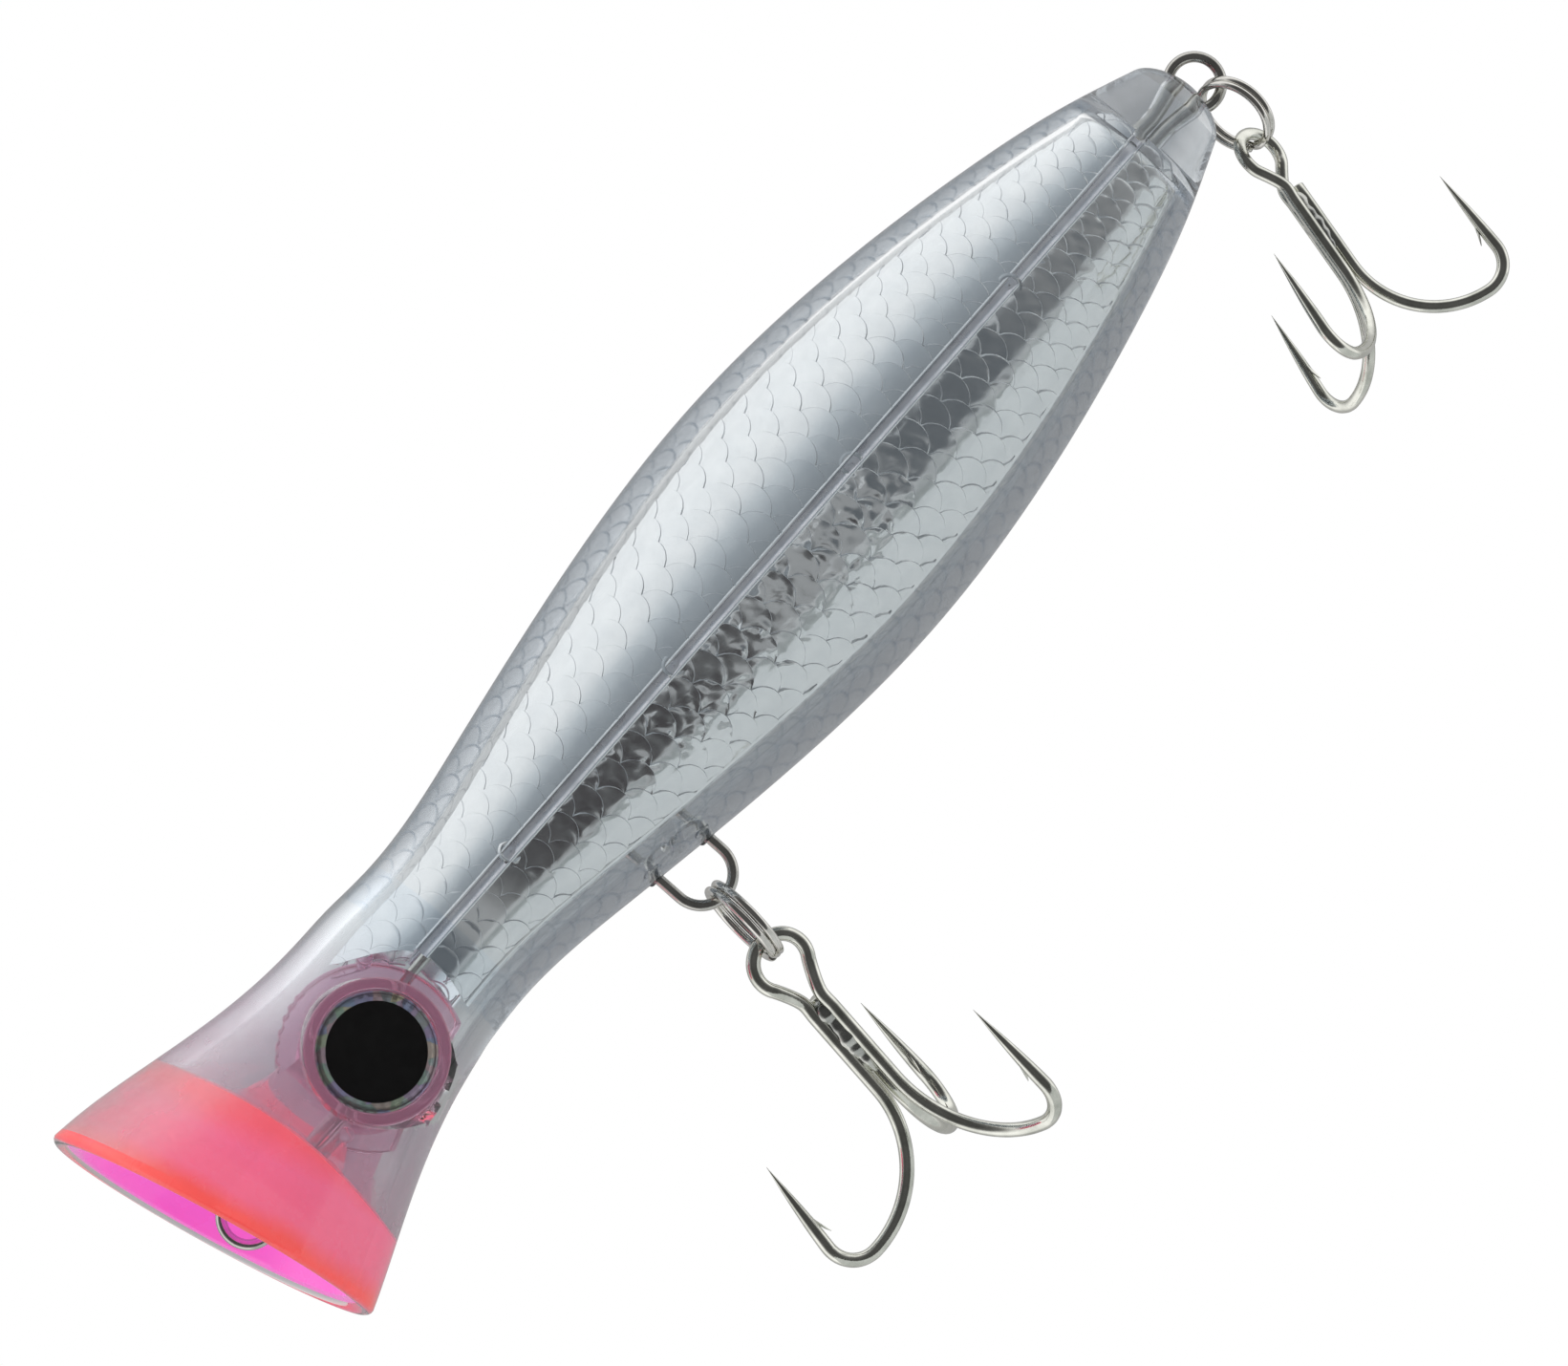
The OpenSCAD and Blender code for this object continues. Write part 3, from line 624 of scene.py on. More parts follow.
def scale_sheet(low, high, front, back, lift=1.0, hammer=0.0, cols=12, steps=6, level=0.0):
    """Overlapping embossed scales between two edge angles, front and back; left side.

    Gives points, faces and each face's material: 2 for the step at a scale's free edge, else 0.
    """
    verts, faces, mats = [], [], []
    base = 0
    for j, i in itertools.product(range(-20, 21), range(-2, 48)):
        uc = i + (0.5 if j % 2 else 0.0)
        if not 0 <= uc <= UT[-1]:
            continue
        xc = float(np.interp(uc, UT, XT))
        if not 18 <= xc <= 124:
            continue
        q, p, rf = float(row_gap(xc)), float(pitch(xc)), float(foil_r(xc))
        th = (LATERAL + j * q) / rf
        if th - 1.2 * q / rf > high(xc) or th + 1.2 * q / rf < low(xc):
            continue
        big = 1.05 * q
        w = np.linspace(-1, 1, cols + 1)
        own = (np.sqrt(big**2 - (w * q) ** 2) - big) / p
        other = -0.5 + (np.sqrt(big**2 - ((1 - np.abs(w)) * q) ** 2) - big) / p
        start = np.minimum(np.maximum(own - 1, other), own) - 0.05
        t = np.linspace(0, 1, steps + 1)
        u = uc + start[None, :] + (own - start)[None, :] * t[:, None]
        x = np.interp(u, UT, XT)
        theta = LATERAL / rf + (j + w)[None, :] * row_gap(x) / foil_r(x)
        theta = np.clip(theta, low(x), high(x))
        x = np.clip(x, front(theta), back(theta))
        if np.ptp(x) < SLIVER or np.ptp(theta) * rf < SLIVER:
            continue
        ww = (theta - LATERAL / rf) * foil_r(x) / row_gap(x) - j
        edge = uc + (np.sqrt(np.maximum(big**2 - (ww * q) ** 2, 0)) - big) / p
        e = np.clip((edge - np.interp(x, XT, UT)) * p, 0, None)
        ta, tb, tc = TILTS[(i, j)]
        h = emboss_gain(x) * lift * (0.13 * (1 - e / p) + 0.05 * (1 - (ww * q / big) ** 2)
                                     + 0.035 * ta * ww + 0.03 * tb * (e / p))
        pt = around(x, foil_r(x) - SUNK + level + h, theta)
        if hammer:
            amount = hammer * np.interp(x, [34, 48, 58, 78, 90], [0.0, 0.6, 1.3, 1.2, 0.3])
            amount = amount * np.interp(theta, [-0.9, -0.6, -0.15, 0.02], [0.15, 1, 1, 0.2])
            amount = amount * (0.35 + 0.9 * tc)
            pt = around(x, foil_r(x) - SUNK + level + h + amount * rough_noise(pt, 1.3, 3), theta)
        tip = np.clip(ww[-1] * q / big, -1, 1)
        step = 0.2 * lift
        skirt = around(x[-1] + step * np.sqrt(1 - tip**2), foil_r(x[-1]) - SUNK - 0.02 + level,
                       theta[-1] + step * tip / rf)
        grid = np.concatenate([pt.reshape(-1, 3), skirt])
        rows, m = steps + 2, cols + 1
        for n, f in enumerate(ring_faces(rows, m, wrap=False)):
            a, b, c, d = (grid[k] for k in f)
            if np.linalg.norm(np.cross(c - a, d - b)) > NO_AREA:
                faces.append(tuple(base + k for k in f))
                mats.append(2 if n >= steps * cols else 0)
        verts.append(grid)
        base += len(grid)
    return np.concatenate(verts), faces, mats


def outward(v, faces):
    """Turns the faces so that they look away from the axis."""
    out = []
    for f in faces:
        a, b, c, d = v[list(f)]
        n = np.cross(c - a, d - b)
        mid = (a + b + c + d) / 4
        ok = n @ (mid - np.array([mid[0], 0, AXIS_Z])) > 0
        out.append(f if ok else f[::-1])
    return out


EDGE_X = (20, 30, 50, 76, 100, 121)


def top_edge(x):
    return np.radians(np.interp(x, EDGE_X, [50, 53, 58, 62, 62, 60]))


def low_edge(x):
    return np.radians(np.interp(x, EDGE_X, [-43, -45, -50, -54, -54, -52]))


CHANNEL = 0.62


def channel_top(x):
    return (LATERAL + CHANNEL) / foil_r(x)


def channel_low(x):
    return (LATERAL - CHANNEL) / foil_r(x)


def foil_front(theta):
    d = np.degrees(theta)
    return np.interp(d, [-60, -45, -25, 0, 14, 30, 45, 55], [25.6, 25.6, 26.2, 26.4, 25.4, 23.4, 21.2, 20.4])


def foil_back(theta):
    d = np.abs(np.degrees(theta) - 4)
    return np.interp(d, [0, 40, 50, 56, 60], [121.2, 121.0, 120.2, 118.8, 117])


def channel_strip():
    """Groove of the lateral line between two raised beads."""
    xs = np.arange(foil_front(0.05), 121.1, 0.5)
    prof = [(-0.66, 0.0), (-0.62, 0.1), (-0.54, 0.16), (-0.44, 0.14), (-0.3, -0.02), (-0.15, -0.07),
            (0, -0.08), (0.15, -0.07), (0.32, -0.04), (0.4, 0.07), (0.5, 0.1), (0.6, 0.07), (0.66, 0.0)]
    rings = [around(xs, foil_r(xs) - 0.06 + h, (LATERAL + v) / foil_r(xs)) for v, h in prof]
    v = np.stack(rings, 1).reshape(-1, 3)
    cells = len(prof) - 1
    mats = [1 if 3 <= k % cells <= 8 else 0 for k in range((len(xs) - 1) * cells)]
    return v, ring_faces(len(xs), len(prof), wrap=False), mats


def edge_bead():
    """Smooth rolled lower edge of the foil."""
    xs = np.linspace(float(foil_front(low_edge(25.0))), float(foil_back(low_edge(118.0))), 300)
    prof = [(0, 0.0), (0.12, 0.07), (0.3, 0.1), (0.5, 0.07), (0.62, -0.05), (0.66, -0.25)]
    rings = [around(xs, foil_r(xs) - 0.08 + h, low_edge(xs) - v / foil_r(xs)) for v, h in prof]
    return np.stack(rings, 1).reshape(-1, 3), ring_faces(len(xs), len(prof), wrap=False)


PEGS = (38.0, 59.0, 82.0, 103.0)
PEG_SIDES = 36
PEG_PROFILE = [(1.1, -0.08), (1.0, -0.04), (0.9, 0.02), (0.8, 0.0), (0.72, -0.04), (0.5, -0.02), (0.3, 0.0),
               (0.1, 0.01)]


def peg_marks():
    """Raised ring and low dome where each peg of the shell passes through the foil."""
    parts = []
    a = circle(PEG_SIDES)
    for x in PEGS:
        r = float(foil_r(x))
        bold = 1.0 if x == PEGS[0] else 0.35
        rows = [around(x + q * np.cos(a), r - 0.05 + bold * h, (LATERAL + q * np.sin(a)) / r)
                for q, h in PEG_PROFILE]
        parts.append((np.concatenate(rows), ring_faces(len(rows), PEG_SIDES)))
    return merge(*parts)


def mirror(v):
    return v * np.array([1, -1, 1])


def foil_mesh():
    """Left liner, and for each face the foil, the rib or the scale rim as its material."""
    up = scale_sheet(channel_top, top_edge, foil_front, foil_back, 0.65)
    low = scale_sheet(low_edge, channel_low, foil_front, foil_back, 1.1, hammer=0.08)
    strip_v, strip_f, strip_m = channel_strip()
    bead = edge_bead()
    pegs = peg_marks()
    v, f = merge(up[:2], low[:2], (strip_v, strip_f), bead, pegs)
    mats = up[2] + low[2] + strip_m
    bands = len(PEG_PROFILE) - 1
    mats += [0] * len(bead[1]) + [1 if (k // PEG_SIDES) % bands > 3 else 0 for k in range(len(pegs[1]))]
    return v, outward(v, f), mats


foil_v, foil_f, foil_m = foil_mesh()
for side, name in ((1, "left"), (-1, "right")):
    vv = foil_v if side > 0 else mirror(foil_v)
    ff = foil_f if side > 0 else [f[::-1] for f in foil_f]
    piece("foil_" + name + "_scales", vv, ff, [FOIL, RIB, RIM], replaces=("foil_" + name,), slot="flank_foil",
          face_mats=foil_m, sharp=30)

FILM_IN = 0.4         # the films lie this far outside the foil, just inside the clear wall


def film(name, low, high, lift, mat):
    """Lacquer film embossed with faint scales, on both sides between two edge angles."""
    v, f, _ = scale_sheet(low, high, lambda t: 26 + 0 * t, lambda t: 120.5 + 0 * t, lift,
                          cols=8, steps=4, level=FILM_IN)
    f = outward(v, f)
    v, f = merge((v, f), (mirror(v), [q[::-1] for q in f]))
    piece(name, v, f, [mat], slot="clear_shell", sharp=30)


film("belly_film", lambda x: -pi / 2 + 0 * x, lambda x: low_edge(x) - 0.05, 0.7, FILM)
film("back_film", lambda x: top_edge(x) + 0.06, lambda x: pi / 2 + 0 * x, 0.3, BACK_FILM)


def haze(start, end, depth, rows):
    """Faint tinted skin in the clear wall, left out where the eyes pass through it."""
    t = np.linspace(0, 1, rows)[:, None]
    xs = start + (end - start) * t + 0 * ANG
    v = around(xs, radius(xs) - depth, ANG[None, :]).reshape(-1, 3)
    faces = []
    for f in ring_faces(rows, len(ANG)):
        mid = v[list(f)].mean(axis=0)
        if np.hypot(mid[0] - EYE[0], mid[2] - EYE[2]) > EYE_HOLE_R + 0.24:
            faces.append(f[::-1])
    return v, faces


CUP_BACK, CUP_DEPTH, CUP_T = 18.75, 1.4, 1.2
CUP_BOW = 1.5        # the rim of the cup's back bows rearward by this at the sides
CUP_REAR = head_station(CUP_BACK) + CUP_BOW * np.cos(ANG) ** 2
v, f = haze(CUP_REAR - 0.1, 30.0 + 0 * ANG, WALL - 0.1, 60)
piece("head_haze", v, f, [HEAD_FILM], slot="clear_shell")
v, f = haze(lip_x(ANG, 0.9, 1.0), CUP_REAR + 0.25, 0.9, 30)
piece("cup_haze", v, f, [CUP_FILM], slot="clear_shell")
v, f = haze(120.8, 126.0, 0.7, 30)
out = (v - [0, 0, AXIS_Z]) * [0, 1, 1]
v = v + 0.12 * out / np.linalg.norm(out, axis=1)[:, None] * rough_noise(v, 2.4, 5)[:, None]
piece("tail_haze", v, f, [TAIL_FILM], slot="clear_shell", sharp=12)

# ---- cup
BOND = 0.05          # the cup reaches this far into the clear wall, as a glued cup wets it
CUP_SET_BACK = 0.62  # its lip starts to round off this far behind the mouth plane


def cup_mesh():
    """Cup as one skin: back, outside, lip, inside and floor; material 1 faces the mouth."""
    back_x = head_station(CUP_BACK)
    bow = CUP_REAR - back_x
    inset = lambda x: wall(x) - BOND
    out_lip = lip_x(ANG, LIP_WALL - BOND, CUP_SET_BACK)
    in_lip = lip_x(ANG, LIP_WALL - BOND + CUP_T, CUP_SET_BACK)
    edge = radius(CUP_REAR) - wall(CUP_REAR) + BOND
    rings = []
    for s in (0.12, 0.35, 0.6, 0.8, 0.93):
        rings.append(around(back_x + bow * s * s + CUP_DEPTH * (1 - s * s), edge * s, ANG))
    rings.append(around(CUP_REAR + 0.12, edge - 0.1, ANG))
    for k in range(LIP_ROWS + 1):
        x = CUP_REAR + (out_lip - CUP_REAR) * k / LIP_ROWS
        rings.append(around(x, radius(x) - inset(x), ANG))
    outside = len(rings)
    rings += round_lip(rings[-1], around(in_lip, radius(in_lip) - LIP_WALL + BOND - CUP_T, ANG), 0.5, 8)
    floor_x = back_x - CUP_T
    for k in range(LIP_ROWS, -1, -1):
        x = floor_x + (in_lip - floor_x) * k / LIP_ROWS
        rings.append(around(x, radius(x) - inset(x) - CUP_T, ANG))
    edge_in = float(radius(back_x) - wall(back_x)) + BOND - CUP_T
    for s in (0.9, 0.7, 0.45, 0.2):
        rings.append(around(floor_x + CUP_DEPTH * (1 - s * s), edge_in * s, ANG))
    tip_out = around(back_x + CUP_DEPTH, 0.0, 0.0)
    tip_in = around(floor_x + CUP_DEPTH, 0.0, 0.0)
    v, f = closed(rings, tip_out, tip_in)
    m = len(ANG)
    inner = set(range(outside * m, len(rings) * m)) | {len(rings) * m + 1}
    return v, f, [1 if all(i in inner for i in q) else 0 for q in f]


cup_v, cup_f, cup_m = cup_mesh()
stand_in("cup_insert", cup_v, cup_f, [CUP_OUT, CUP_IN], "cup_plastic", face_mats=cup_m)

# ---- head frame and eyes
stalk = [around(head_station(6 + (CUP_BACK - CUP_DEPTH - 6.1) * u), 3.6 + 2.8 * u**3, ANG[::2])
         for u in np.linspace(0, 1, 26)]
frame_v, frame_f = closed(stalk)
head = stand_in("head_frame", frame_v, frame_f, [PINK], "pink_clear")


def inside_head(x, z, y, gap):
    """Whether a point of the head is this far inside the clear wall's inner surface."""
    drop = (BEND_X - x) * math.tan(TILT)
    away = math.hypot(y, z - (AXIS_Z - drop))
    return away < float(radius(x) - wall(x)) - gap


def eye_disc():
    """Round plate behind the eyes, kept inside the head, with a ribbed crest."""
    a = circle(192)
    half = 1.9
    reach = []
    for t in a:
        q = 8.2
        while q > 5 and not inside_head(EYE[0] + q * math.cos(t), EYE[2] + q * math.sin(t), half, 0.7):
            q -= 0.05
        reach.append(q)
    reach = np.array(reach)
    crest = np.clip(1 - np.abs(np.degrees(a) - 128) / 42, 0, 1) ** 0.4
    rib = 0.12 * crest * np.sign(np.sin(a * 44))
    rows = []
    for y, less in ((-half, 0.35), (-half, 0.12), (-1.75, 0), (1.75, 0), (half, 0.12), (half, 0.35)):
        q = reach - less + rib
        rows.append(np.stack([EYE[0] + q * np.cos(a), y * (1 + 0.2 * crest), EYE[2] + q * np.sin(a)], -1))
    return closed(rows)


cut(head, [eye_disc()], "UNION")
WEB = [(6.3, 0.5), (6.3, -8.6), (7.6, -7.2), (9.4, -5.8), (11.6, -5.0), (12.4, -4.4), (12.4, 0.5)]
web = closed([np.array([[x, y, z] for x, z in WEB]) for y in (-0.6, 0.6)])
frame_pegs = [cylinder([x, -3.2, z], (0, 1, 0), 6.4, 0.75, 32, 0.15) for x, z in ((23.2, 7.2), (10.4, -1.5))]
cut(head, [web] + frame_pegs, "UNION")

SEAT_OUT, SEAT_IN, SEAT_R, IRIS_R, PUPIL_R = 10.25, 4.9, 6.3, 5.3, 4.3


def eye_ring(side, r, y, a):
    return np.stack([EYE[0] + r * np.cos(a), side * (y + 0 * a), EYE[2] + r * np.sin(a)], -1)


def on_eye(side, profile, last=None):
    """Lathe about the eye's axis; the profile is radius and distance from the middle plane."""
    rings = [eye_ring(side, r, y, circle(96)) for r, y in profile]
    return closed(rings, *(EYE + [0, side * y, 0] for y in (profile[0][1], last or profile[-1][1])))


def iris_mesh(side):
    """Foil disc that ripples a little between its rim and the pupil."""
    ripple = 0.02 * np.where(np.arange(72) % 2, 1, -1)
    rows = []
    for r, y in [(5.26, -0.14), (5.26, 0.0), (4.95, 0.05), (4.6, 0.0), (4.25, 0.05), (3.0, 0.05)]:
        rows.append(eye_ring(side, r, SEAT_OUT - 1.05 + y + ripple * (4 < r < 5.2), circle(72)))
    return closed(rows)


def round_corner(r, y, fillet, start, end, n):
    return [(r + fillet * math.cos(a), y + fillet * math.sin(a))
            for a in np.radians(np.linspace(start, end, n))]


SEAT_PROFILE = ([(3.0, SEAT_IN), (SEAT_R - 0.3, SEAT_IN), (SEAT_R + 0.1, SEAT_IN + 0.3)]
                + round_corner(SEAT_R - 0.25, SEAT_OUT - 0.35, 0.35, 0, 90, 7)
                + round_corner(IRIS_R + 0.27, SEAT_OUT - 0.2, 0.2, 90, 180, 5)
                + [(IRIS_R + 0.07, SEAT_OUT - 1.1), (IRIS_R - 0.1, SEAT_OUT - 1.22), (3.0, SEAT_OUT - 1.22)])
PUPIL_PROFILE = [(PUPIL_R - 0.05, SEAT_OUT - 1.08), (PUPIL_R, SEAT_OUT - 0.98), (PUPIL_R, SEAT_OUT - 0.92),
                 (PUPIL_R - 0.15, SEAT_OUT - 0.82), (2.5, SEAT_OUT - 0.8)]
LENS_PROFILE = ([(4.0, SEAT_OUT - 1.2), (5.2, SEAT_OUT - 1.2), (5.3, SEAT_OUT - 1.1), (5.3, SEAT_OUT - 0.7)]
                + [(5.28 * math.cos(t) ** 0.7, SEAT_OUT - 0.62 + 1.02 * math.sin(t))
                   for t in np.radians(np.linspace(3, 87, 22))])
for side, name in ((-1, "left"), (1, "right")):
    for part, (v, f), mat, slot, sharp in (
            ("seat", on_eye(side, SEAT_PROFILE), SEAT, "pink_clear", SHARP),
            ("iris", iris_mesh(side), IRIS, "iris_foil", 2),
            ("pupil", on_eye(side, PUPIL_PROFILE), PUPIL, "pupil_black", SHARP),
            ("lens", on_eye(side, LENS_PROFILE, SEAT_OUT + 0.4), LENS, "clear_lens", SHARP)):
        stand_in("eye_%s_%s" % (name, part), v, f, [mat], slot, sharp=sharp)

# ---- through wire
HANGER_BEND = 1.2    # radius of the bends at the top of the hanger's legs
loop_a = math.degrees(math.asin(LEG / LOOP_R)) + 12
front_run = np.vstack([[14, 0, -LEG], [9, 0, -LEG], [5, 0, -LEG],
                       arc(0, 0, LOOP_R, 360 - loop_a, loop_a, 60),
                       [5, 0, LEG], [9, 0, LEG], [12, 0, LEG], [16, 0, 1.1], [20, 0, 2.4],
                       [24, 0, AXIS_Z - 0.15], [28, 0, AXIS_Z], [34, 0, AXIS_Z], [40, 0, AXIS_Z]])
top_z = AXIS_Z - HANGER_BEND
hanger = np.vstack([arc(LEGS[0] - HANGER_BEND, top_z, HANGER_BEND, 90, 0, 10),
                    [[LEGS[0], 0, z] for z in (0, -3, -6, -8)],
                    arc(HANGER_X, HANGER_Z + HANGER_W / 2, HANGER_W / 2, 180, 360, 40),
                    [[LEGS[1], 0, z] for z in (-8, -6, -3, 0)],
                    arc(LEGS[1] + HANGER_BEND, top_z, HANGER_BEND, 180, 90, 10)])
tail_run = np.vstack([[[x, 0, AXIS_Z] for x in (60, 80, 100, 114)], [TAIL_X - 12, 0, AXIS_Z + 0.02],
                      [TAIL_X - 8, 0, AXIS_Z + LEG], [TAIL_X - 5, 0, AXIS_Z + LEG],
                      arc(TAIL_EYE, AXIS_Z, LOOP_R, 180 - loop_a, loop_a - 180, 60),
                      [TAIL_X - 5, 0, AXIS_Z - LEG], [TAIL_X - 9, 0, AXIS_Z - LEG]])
wire_v, wire_f = tube(through(np.vstack([front_run, hanger, tail_run]), 0.3), WIRE_R, (0, 1, 0))
stand_in("through_wire", wire_v, wire_f, [WIRE], "wire_steel")

# ---- split rings and hooks
JOG = 0.12           # share of a turn in which the ring's wire steps sideways
COIL_GAP = 0.04


def split_ring(r, d):
    """Two turns of wire side by side."""
    u = np.linspace(0, 2, 181)[:-1]
    s = np.clip((u - 1 + JOG / 2) / JOG, 0, 1)
    a = np.radians(360 * u + 250)
    aside = (d + COIL_GAP) * (s * s * (3 - 2 * s) - 0.5)
    return tube(np.stack([aside, r * np.cos(a), r * np.sin(a)], -1), d / 2, (1, 0, 0), 18)


def spin(axis, angle):
    """Rotation about X, Y or Z (0, 1 or 2) by an angle in degrees."""
    i, j = (axis + 1) % 3, (axis + 2) % 3
    m = np.eye(3)
    m[i, i] = m[j, j] = math.cos(rad(angle))
    m[j, i] = math.sin(rad(angle))
    m[i, j] = -m[j, i]
    return m


def down(length):
    return np.array([0, 0, -length])


RING_R, RING_D, TAIL_SCALE = 3.95, 0.76, 0.87
BIG, SMALL, SPEAR, TURN = 9.8, 3.25, 9.1, rad(94)    # a hook's two bend radii, point and total turn
HOOK_R, PAIR, THIRD, EYE_R, HOOK_PLAY = 0.65, 0.95, 1.2, 2.55, 0.4
LEFT_DIR, RIGHT_DIR, THIRD_DIR = 212, 328, 90
EYE_MID = RING_D / 2 + HOOK_R + HOOK_PLAY - EYE_R
SHANK_Z = EYE_MID - 4.2
BEND_Z = SHANK_Z - 10.4
SPEAR_DIR = np.array([math.cos(TURN), math.sin(TURN)])
SPEAR_FOOT = np.array([BIG + SMALL * math.sin(TURN), -BIG + SMALL * (1 - math.cos(TURN))])


def arm():
    """Bend and point of one hook: distance out from the shank, height, radius."""
    pts = [(BIG * (1 - math.cos(a)), -BIG * math.sin(a), HOOK_R) for a in np.radians(np.linspace(3, 90, 30))]
    pts += [(BIG + SMALL * math.sin(a), -BIG + SMALL * (1 - math.cos(a)), HOOK_R)
            for a in np.linspace(rad(4), TURN, 28)]
    pts += [(*(SPEAR_FOOT + SPEAR * u * SPEAR_DIR), HOOK_R * max(0.03, 1 - u**1.6))
            for u in np.linspace(0, 1, 26)[1:]]
    return np.array(pts)


ARM = arm()


def placed(foot, direction, out, up, side=0.0):
    """Points of one hook from their distance out, height and distance aside."""
    c, s = math.cos(rad(direction)), math.sin(rad(direction))
    return np.stack([foot[0] + out * c - side * s, foot[1] + out * s + side * c, BEND_Z + up], -1)


def arm_at(foot, direction):
    return placed(foot, direction, ARM[:, 0], ARM[:, 1])


def barb(foot, direction):
    """Sliver cut up from the inner side of the point."""
    inward = np.array([-SPEAR_DIR[1], SPEAR_DIR[0]])
    a = circle(8)
    rings = []
    for along, off, half, deep in [(3.3, 0.35, 0.2, 0.05), (2.6, 0.5, 0.24, 0.12), (1.9, 0.72, 0.22, 0.13),
                                   (1.3, 0.98, 0.15, 0.1), (0.85, 1.2, 0.05, 0.04)]:
        p = SPEAR_FOOT + SPEAR_DIR * along + inward * off + np.cos(a)[:, None] * inward * deep
        rings.append(placed(foot, direction, p[:, 0], p[:, 1], half * np.sin(a)))
    return closed(rings)


def hook_double(twist):
    """One wire bent into two hooks and the eye, which is turned by the twist."""
    left, right = arm_at((-PAIR, 0), LEFT_DIR), arm_at((PAIR, 0), RIGHT_DIR)
    eye = arc(0, EYE_MID, EYE_R, 215, -35, 54)
    c, s = math.cos(rad(twist)), math.sin(rad(twist))
    eye = np.stack([eye[:, 0] * c, eye[:, 0] * s, eye[:, 2]], -1)
    shank = lambda sx: np.array([[sx * PAIR, 0, z] for z in np.linspace(SHANK_Z, BEND_Z, 7)])
    ctrl = through(np.vstack([shank(-1)[::-1][-2:], eye, shank(1)[:2]]), 0.25)
    path = np.vstack([left[::-1], shank(-1)[::-1][:-2], ctrl, shank(1)[2:], right])
    r = np.concatenate([ARM[::-1, 2], np.full(len(path) - 2 * len(ARM), HOOK_R), ARM[:, 2]])
    return merge(tube(path, r, (0, 1, 0)), barb((-PAIR, 0), LEFT_DIR), barb((PAIR, 0), RIGHT_DIR))


def hook_third():
    shank = [[0, THIRD, z] for z in np.linspace(SHANK_Z - 0.6, BEND_Z, 8)]
    path = np.vstack([shank, arm_at((0, THIRD), THIRD_DIR)])
    r = np.concatenate([np.full(len(shank), HOOK_R), ARM[:, 2]])
    return merge(tube(path, r, (1, 0, 0)), barb((0, THIRD), THIRD_DIR))


def hook_braze():
    """Lumpy fillet of braze that fills the corners between the three shanks."""
    rings = []
    a = circle(40)
    for z in np.linspace(0, 1, 34):
        full = min(1, z / 0.1, (1 - z) / 0.3) ** 0.5
        r = 0.98 * full * (1 + 0.08 * math.sin(15 * z) + 0.06 * math.sin(39 * z + 1)) + 0.02
        ring = np.stack([r * np.cos(a), 0.42 + r * np.sin(a), 0 * a + SHANK_Z - 0.7 - 8.4 * z], -1)
        ring[:, :2] += 0.05 * np.stack([np.sin(3 * a + 9 * z), np.cos(2 * a + 13 * z)], -1)
        rings.append(ring)
    return closed(rings)


# the belly set hangs on the hanger's bottom, swung away from the left side
BELLY_PIN = np.array([HANGER_X - 0.25, 0, HANGER_Z])
BELLY_TOP = WIRE_R + RING_D / 2 + 0.2
BELLY_TURN = spin(0, 17.9) @ spin(1, 5)
BELLY_RING = BELLY_PIN + BELLY_TURN @ down(RING_R - BELLY_TOP)
BELLY_HOOK = BELLY_PIN + BELLY_TURN @ down(2 * RING_R - BELLY_TOP)
# the tail set hangs in the tail eye, its ring rolled a little and its hook slid round the ring
PIN_BACK = 0.45      # the ring rests this far behind the tail eye's lowest point
TAIL_PIN = np.array([TAIL_EYE + PIN_BACK, 0, AXIS_Z - math.sqrt(LOOP_R**2 - PIN_BACK**2)])
TAIL_R = RING_R * TAIL_SCALE
TAIL_TOP = WIRE_R + RING_D * TAIL_SCALE / 2 + 0.5
TAIL_FACE, TAIL_ROLL, TAIL_SLIDE = -150, -6, -19.5
TAIL_TURN = spin(2, TAIL_FACE) @ spin(0, TAIL_ROLL)
TAIL_RING = TAIL_PIN + TAIL_TURN @ down(TAIL_R - TAIL_TOP)
TAIL_SWUNG = TAIL_TURN @ spin(0, TAIL_SLIDE)
TAIL_HOOK = TAIL_RING + TAIL_SWUNG @ down(TAIL_R)
TAIL_HOOK_TURN = TAIL_SWUNG @ spin(1, -20.7) @ spin(0, -TAIL_ROLL - TAIL_SLIDE) @ spin(2, -97.8 - TAIL_FACE)

for name, turn, origin, size in (("belly", BELLY_TURN, BELLY_RING, 1.0),
                                 ("tail", TAIL_TURN, TAIL_RING, TAIL_SCALE)):
    v, f = split_ring(RING_R * size, RING_D * size)
    stand_in(name + "_split_ring", v @ turn.T + origin, f, [RING], "ring_steel", name + "_ring")
for body, turn, twist, origin, size in (
        ("belly_hook", BELLY_TURN @ spin(2, -21.3), 23.2, BELLY_HOOK, 1.0),
        ("tail_hook", TAIL_HOOK_TURN, -47.2, TAIL_HOOK, TAIL_SCALE)):
    for part, (v, f), mat, slot in (("double", hook_double(twist), HOOK, "hook_steel"),
                                    ("third", hook_third(), HOOK, "hook_steel"),
                                    ("braze", hook_braze(), BRAZE, "braze")):
        stand_in(body + "_" + part, v * size @ turn.T + origin, f, [mat], slot, body)

# ---- weights keep their CAD shape
for name in ("belly_weight", "tail_weight"):
    data = frame["nodes"][name].data
    data.materials.clear()
    data.materials.append(WEIGHT)

# ---- floor, light, camera
FLOOR_Z = -230


